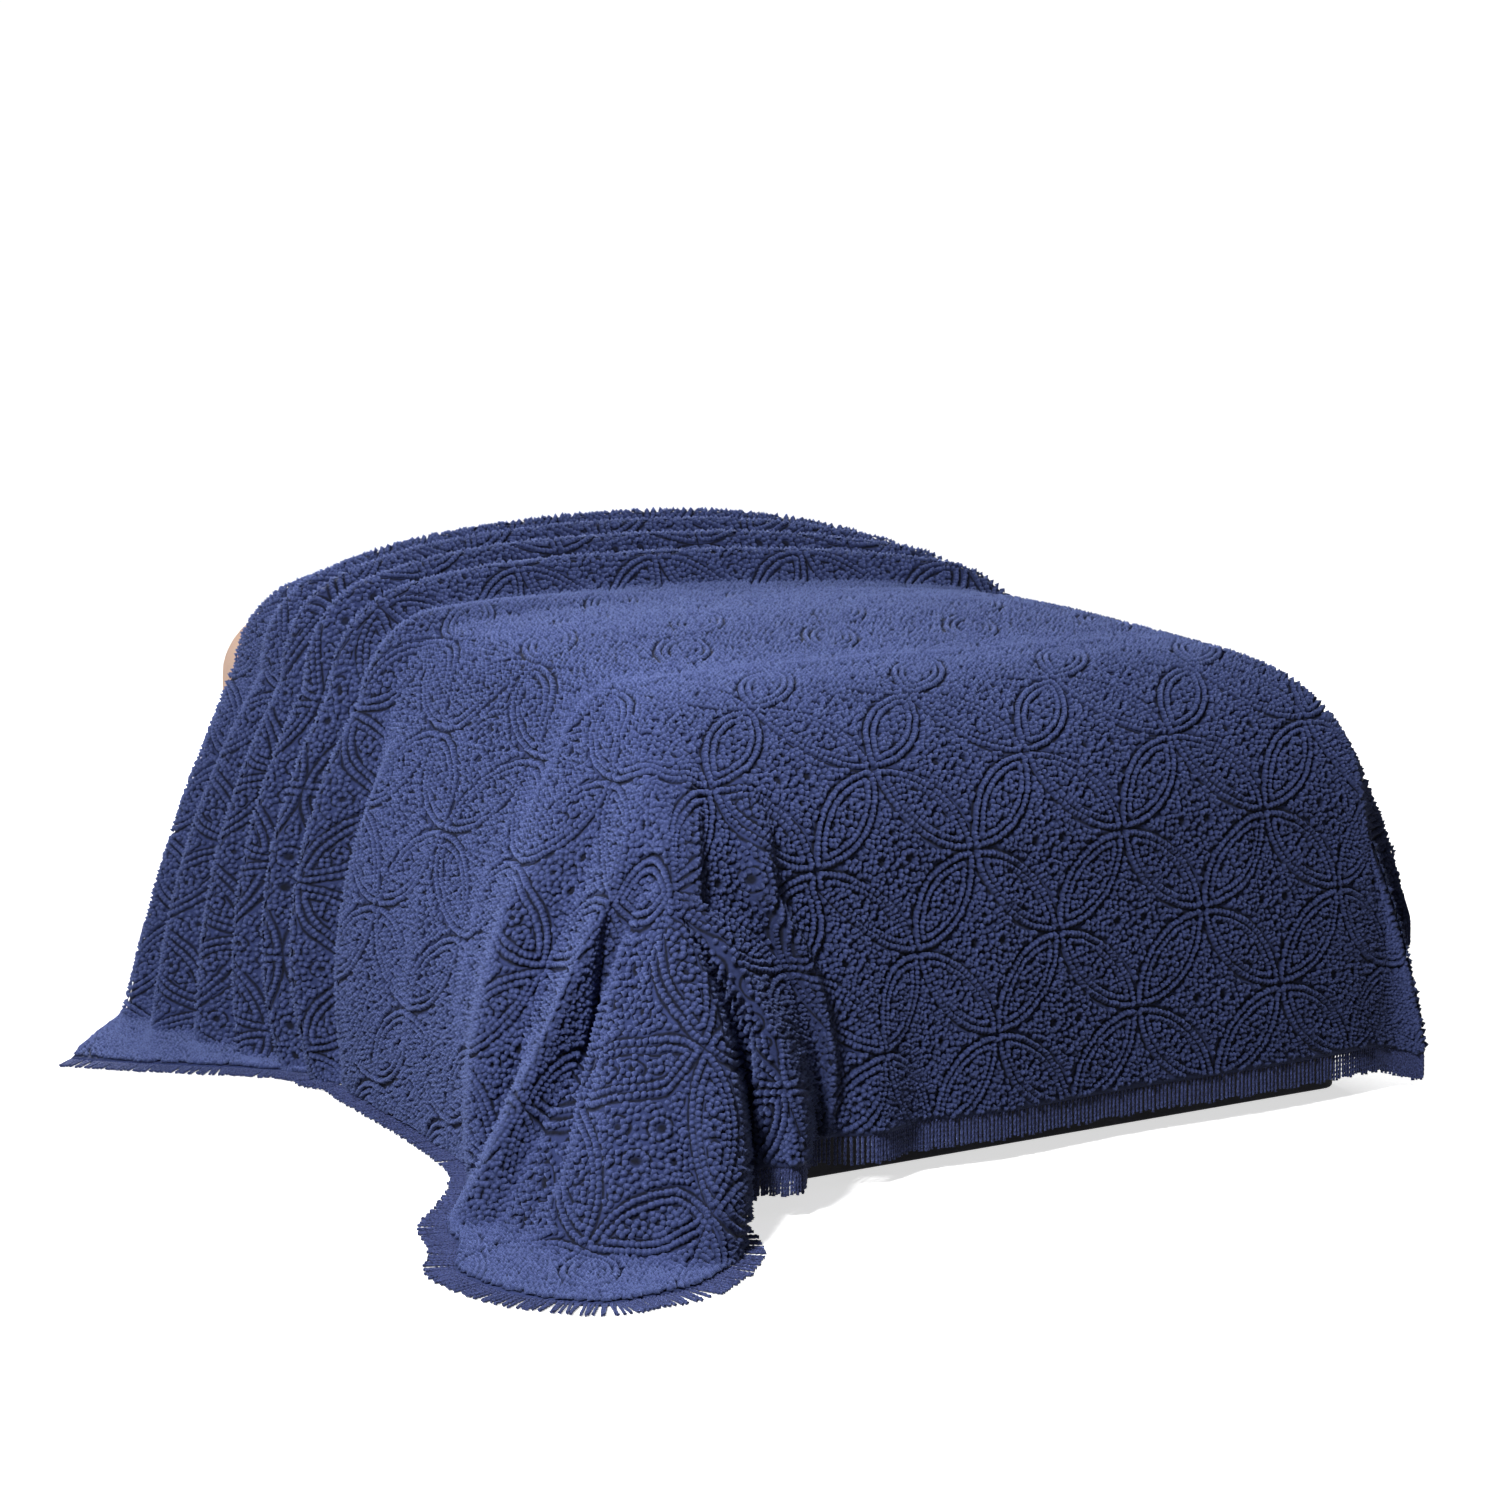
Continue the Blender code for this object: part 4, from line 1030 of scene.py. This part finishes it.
def twisting_tree():
    """Geometry Nodes that turn each line of a mesh into a flattened, twisted cord."""
    group = bpy.data.node_groups.new("twisted cord", "GeometryNodeTree")
    group.interface.new_socket("Geometry", in_out="INPUT", socket_type="NodeSocketGeometry")
    for name in ("Width", "Thickness", "Twist"):
        group.interface.new_socket(name, in_out="INPUT", socket_type="NodeSocketFloat")
    group.interface.new_socket("Material", in_out="INPUT", socket_type="NodeSocketMaterial")
    group.interface.new_socket("Geometry", in_out="OUTPUT", socket_type="NodeSocketGeometry")
    entry = group.nodes.new("NodeGroupInput")
    leave = group.nodes.new("NodeGroupOutput")
    curve = group.nodes.new("GeometryNodeMeshToCurve")
    tilt = group.nodes.new("GeometryNodeSetCurveTilt")
    along = group.nodes.new("GeometryNodeSplineParameter")
    angle = group.nodes.new("ShaderNodeMath")
    angle.operation = "MULTIPLY"
    profile = group.nodes.new("GeometryNodeCurvePrimitiveCircle")
    profile.inputs["Resolution"].default_value = 6
    profile.inputs["Radius"].default_value = 0.5
    squeeze = group.nodes.new("GeometryNodeTransform")
    size = group.nodes.new("ShaderNodeCombineXYZ")
    size.inputs["Z"].default_value = 1.0
    sweep = group.nodes.new("GeometryNodeCurveToMesh")
    sweep.inputs["Fill Caps"].default_value = True
    real = group.nodes.new("GeometryNodeRealizeInstances")
    finish = group.nodes.new("GeometryNodeSetMaterial")
    links = group.links
    links.new(entry.outputs["Geometry"], curve.inputs["Mesh"])
    links.new(curve.outputs["Curve"], tilt.inputs["Curve"])
    links.new(along.outputs["Length"], angle.inputs[0])
    links.new(entry.outputs["Twist"], angle.inputs[1])
    links.new(angle.outputs[0], tilt.inputs["Tilt"])
    links.new(entry.outputs["Width"], size.inputs["X"])
    links.new(entry.outputs["Thickness"], size.inputs["Y"])
    links.new(profile.outputs["Curve"], squeeze.inputs["Geometry"])
    links.new(size.outputs["Vector"], squeeze.inputs["Scale"])
    links.new(tilt.outputs["Curve"], sweep.inputs["Curve"])
    links.new(squeeze.outputs["Geometry"], sweep.inputs["Profile Curve"])
    links.new(sweep.outputs["Mesh"], real.inputs["Geometry"])
    links.new(real.outputs["Geometry"], finish.inputs["Geometry"])
    links.new(entry.outputs["Material"], finish.inputs["Material"])
    links.new(finish.outputs["Geometry"], leave.inputs["Geometry"])
    return group


TWISTING = twisting_tree()
chance = np.random.default_rng(7)


def fringe(name, places, node):
    """Cords along one stretch of the hem, each falling, or lying out on the floor."""
    places = np.linspace(places[0], places[-1], 2000)
    hem = falling(places, np.ones_like(places))
    inner = falling(places, np.full_like(places, 0.95))
    flat = np.stack(flat_place(places, np.ones_like(places)), -1)
    walked = np.concatenate([[0], np.cumsum(np.linalg.norm(np.diff(flat, axis=0), axis=1))])
    number = round(walked[-1] / CORD_PITCH)
    found = (np.arange(number) + 0.5) / number * walked[-1]
    found += chance.uniform(-0.0012, 0.0012, number)

    def at(values):
        return np.stack([np.interp(found, walked, values[:, k]) for k in range(3)], -1)

    way = np.gradient(hem, axis=0)
    way /= np.maximum(np.linalg.norm(way, axis=1, keepdims=True), 1e-9)
    level = np.stack([way[:, 1], -way[:, 0], np.zeros(len(way))], -1)
    level /= np.maximum(np.linalg.norm(level, axis=1, keepdims=True), 1e-6)
    out = hem - inner
    out /= np.maximum(np.linalg.norm(out, axis=1, keepdims=True), 1e-9)
    root, out, level, way = at(hem), at(out), at(level), at(way)
    root = root - out * 0.003
    length = CORD_LENGTH * chance.uniform(0.92, 1.06, number)
    step = (length / CORD_PARTS)[:, None]
    sway = chance.normal(0.0, 0.14, number)[:, None]
    heading, place, lines = out.copy(), root.copy(), [root.copy()]
    floor = CORD_WIDTH / 2
    for k in range(CORD_PARTS):
        hanging = place[:, 2:] > floor + 0.004
        down = heading + np.array([0.0, 0.0, -0.55]) + 0.06 * sway * way + 0.02 * level
        flat_way = heading * [1, 1, 0] * 0.35 + level * 0.65 + 0.35 * sway * way
        heading = np.where(hanging, down, flat_way)
        heading /= np.maximum(np.linalg.norm(heading, axis=1, keepdims=True), 1e-9)
        place = place + heading * step
        place[:, 2] = np.maximum(place[:, 2], floor + 0.0006 * math.sin(k * 1.7))
        lines.append(place.copy())
    points = np.stack(lines, 1).reshape(-1, 3)
    parts = CORD_PARTS + 1
    edges = [(c * parts + k, c * parts + k + 1) for c in range(number) for k in range(CORD_PARTS)]
    mesh = bpy.data.meshes.new(name)
    mesh.from_pydata([tuple(map(float, p)) for p in points], edges, [])
    piece = bpy.data.objects.new(name, mesh)
    bpy.context.scene.collection.objects.link(piece)
    made_mesh(piece, TWISTING, Width=CORD_WIDTH, Thickness=CORD_THICKNESS, Twist=CORD_TWIST,
              Material=cord_cloth)
    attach(piece, "root")
    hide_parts(node)
    return piece


fringes = [
    fringe("left_fringe", places_left, "fringe_left"),
    fringe("left_corner_fringe", turn_left, "fringe_left_corner"),
    fringe("foot_fringe", places_foot, "fringe_foot"),
    fringe("right_corner_fringe", turn_right, "fringe_right_corner"),
    fringe("right_fringe", places_right, "fringe_right"),
]


# Room
# A white studio floor that glows more with distance, so that it runs back without an edge.
# One light rakes over the cloth from the left and in front, one stands behind the head of
# the bed, two weaker ones fill in from the left and from above, and the sky adds a little.
CAMERA_PLACE = (-3.427, -5.699, 1.650)
CAMERA_ASIDE = -30.981
CAMERA_DOWN = 9.041
LENS = 78.07
FLOOR_GLOW = 0.66
ALL_ROUND = 0.09

floor_mesh = bpy.data.meshes.new("floor")
floor_mesh.from_pydata([(-60, -60, 0), (60, -60, 0), (60, 60, 0), (-60, 60, 0)], [], [(0, 1, 2, 3)])
floor = bpy.data.objects.new("floor", floor_mesh)
bpy.context.scene.collection.objects.link(floor)
paint = bpy.data.materials.new("white floor")
paint.use_nodes = True
coat = paint.node_tree.nodes["Principled BSDF"]
coat.inputs["Base Color"].default_value = (0.9, 0.9, 0.9, 1)
coat.inputs["Roughness"].default_value = 0.9
coat.inputs["Emission Color"].default_value = (1, 1, 1, 1)
spot = paint.node_tree.nodes.new("ShaderNodeTexCoord")
reach = paint.node_tree.nodes.new("ShaderNodeVectorMath")
reach.operation = "LENGTH"
glow = paint.node_tree.nodes.new("ShaderNodeMapRange")
glow.inputs["From Min"].default_value = 1.6
glow.inputs["From Max"].default_value = 5.0
glow.inputs["To Min"].default_value = FLOOR_GLOW
glow.inputs["To Max"].default_value = 1.05
paint.node_tree.links.new(spot.outputs["Object"], reach.inputs[0])
paint.node_tree.links.new(reach.outputs["Value"], glow.inputs["Value"])
paint.node_tree.links.new(glow.outputs["Result"], coat.inputs["Emission Strength"])
floor_mesh.materials.append(paint)
floor.visible_diffuse = False

world = bpy.data.worlds.new("studio")
world.use_nodes = True
sky = world.node_tree
background = sky.nodes["Background"]
background.inputs["Color"].default_value = (1.0, 1.0, 1.0, 1.0)
seen = sky.nodes.new("ShaderNodeLightPath")
brightness = sky.nodes.new("ShaderNodeMapRange")
brightness.inputs["To Min"].default_value = ALL_ROUND
brightness.inputs["To Max"].default_value = 1.05
sky.links.new(seen.outputs["Is Camera Ray"], brightness.inputs["Value"])
sky.links.new(brightness.outputs["Result"], background.inputs["Strength"])
bpy.context.scene.world = world
bpy.context.scene.view_settings.view_transform = "Standard"


def soft_light(name, place, target, size, power):
    light = bpy.data.lights.new(name, "AREA")
    light.shape = "SQUARE"
    light.size = size
    light.energy = power
    lamp = bpy.data.objects.new(name, light)
    lamp.location = place
    lamp.rotation_euler = (Vector(target) - Vector(place)).to_track_quat("-Z", "Y").to_euler()
    bpy.context.scene.collection.objects.link(lamp)
    return lamp


soft_light("left light", (-4.2, -0.4, 3.0), (0.0, -0.2, 0.5), 1.2, 50)
soft_light("raking light", (-3.0, -2.4, 3.3), (0.2, -1.05, 0.4), 0.6, 265)
soft_light("back light", (1.2, 4.8, 2.4), (0.0, 0.0, 0.8), 1.4, 430)
soft_light("floor light", (0.0, 6.0, 14.0), (0.0, 0.0, 0.0), 12.0, 60)

camera_data = bpy.data.cameras.new("camera")
camera_data.sensor_width = 36.0
camera_data.lens = LENS
camera = bpy.data.objects.new("camera", camera_data)
camera.location = CAMERA_PLACE
camera.rotation_euler = (math.radians(90 - CAMERA_DOWN), 0.0, math.radians(CAMERA_ASIDE))
bpy.context.scene.collection.objects.link(camera)
bpy.context.scene.camera = camera

bpy.context.view_layer.update()
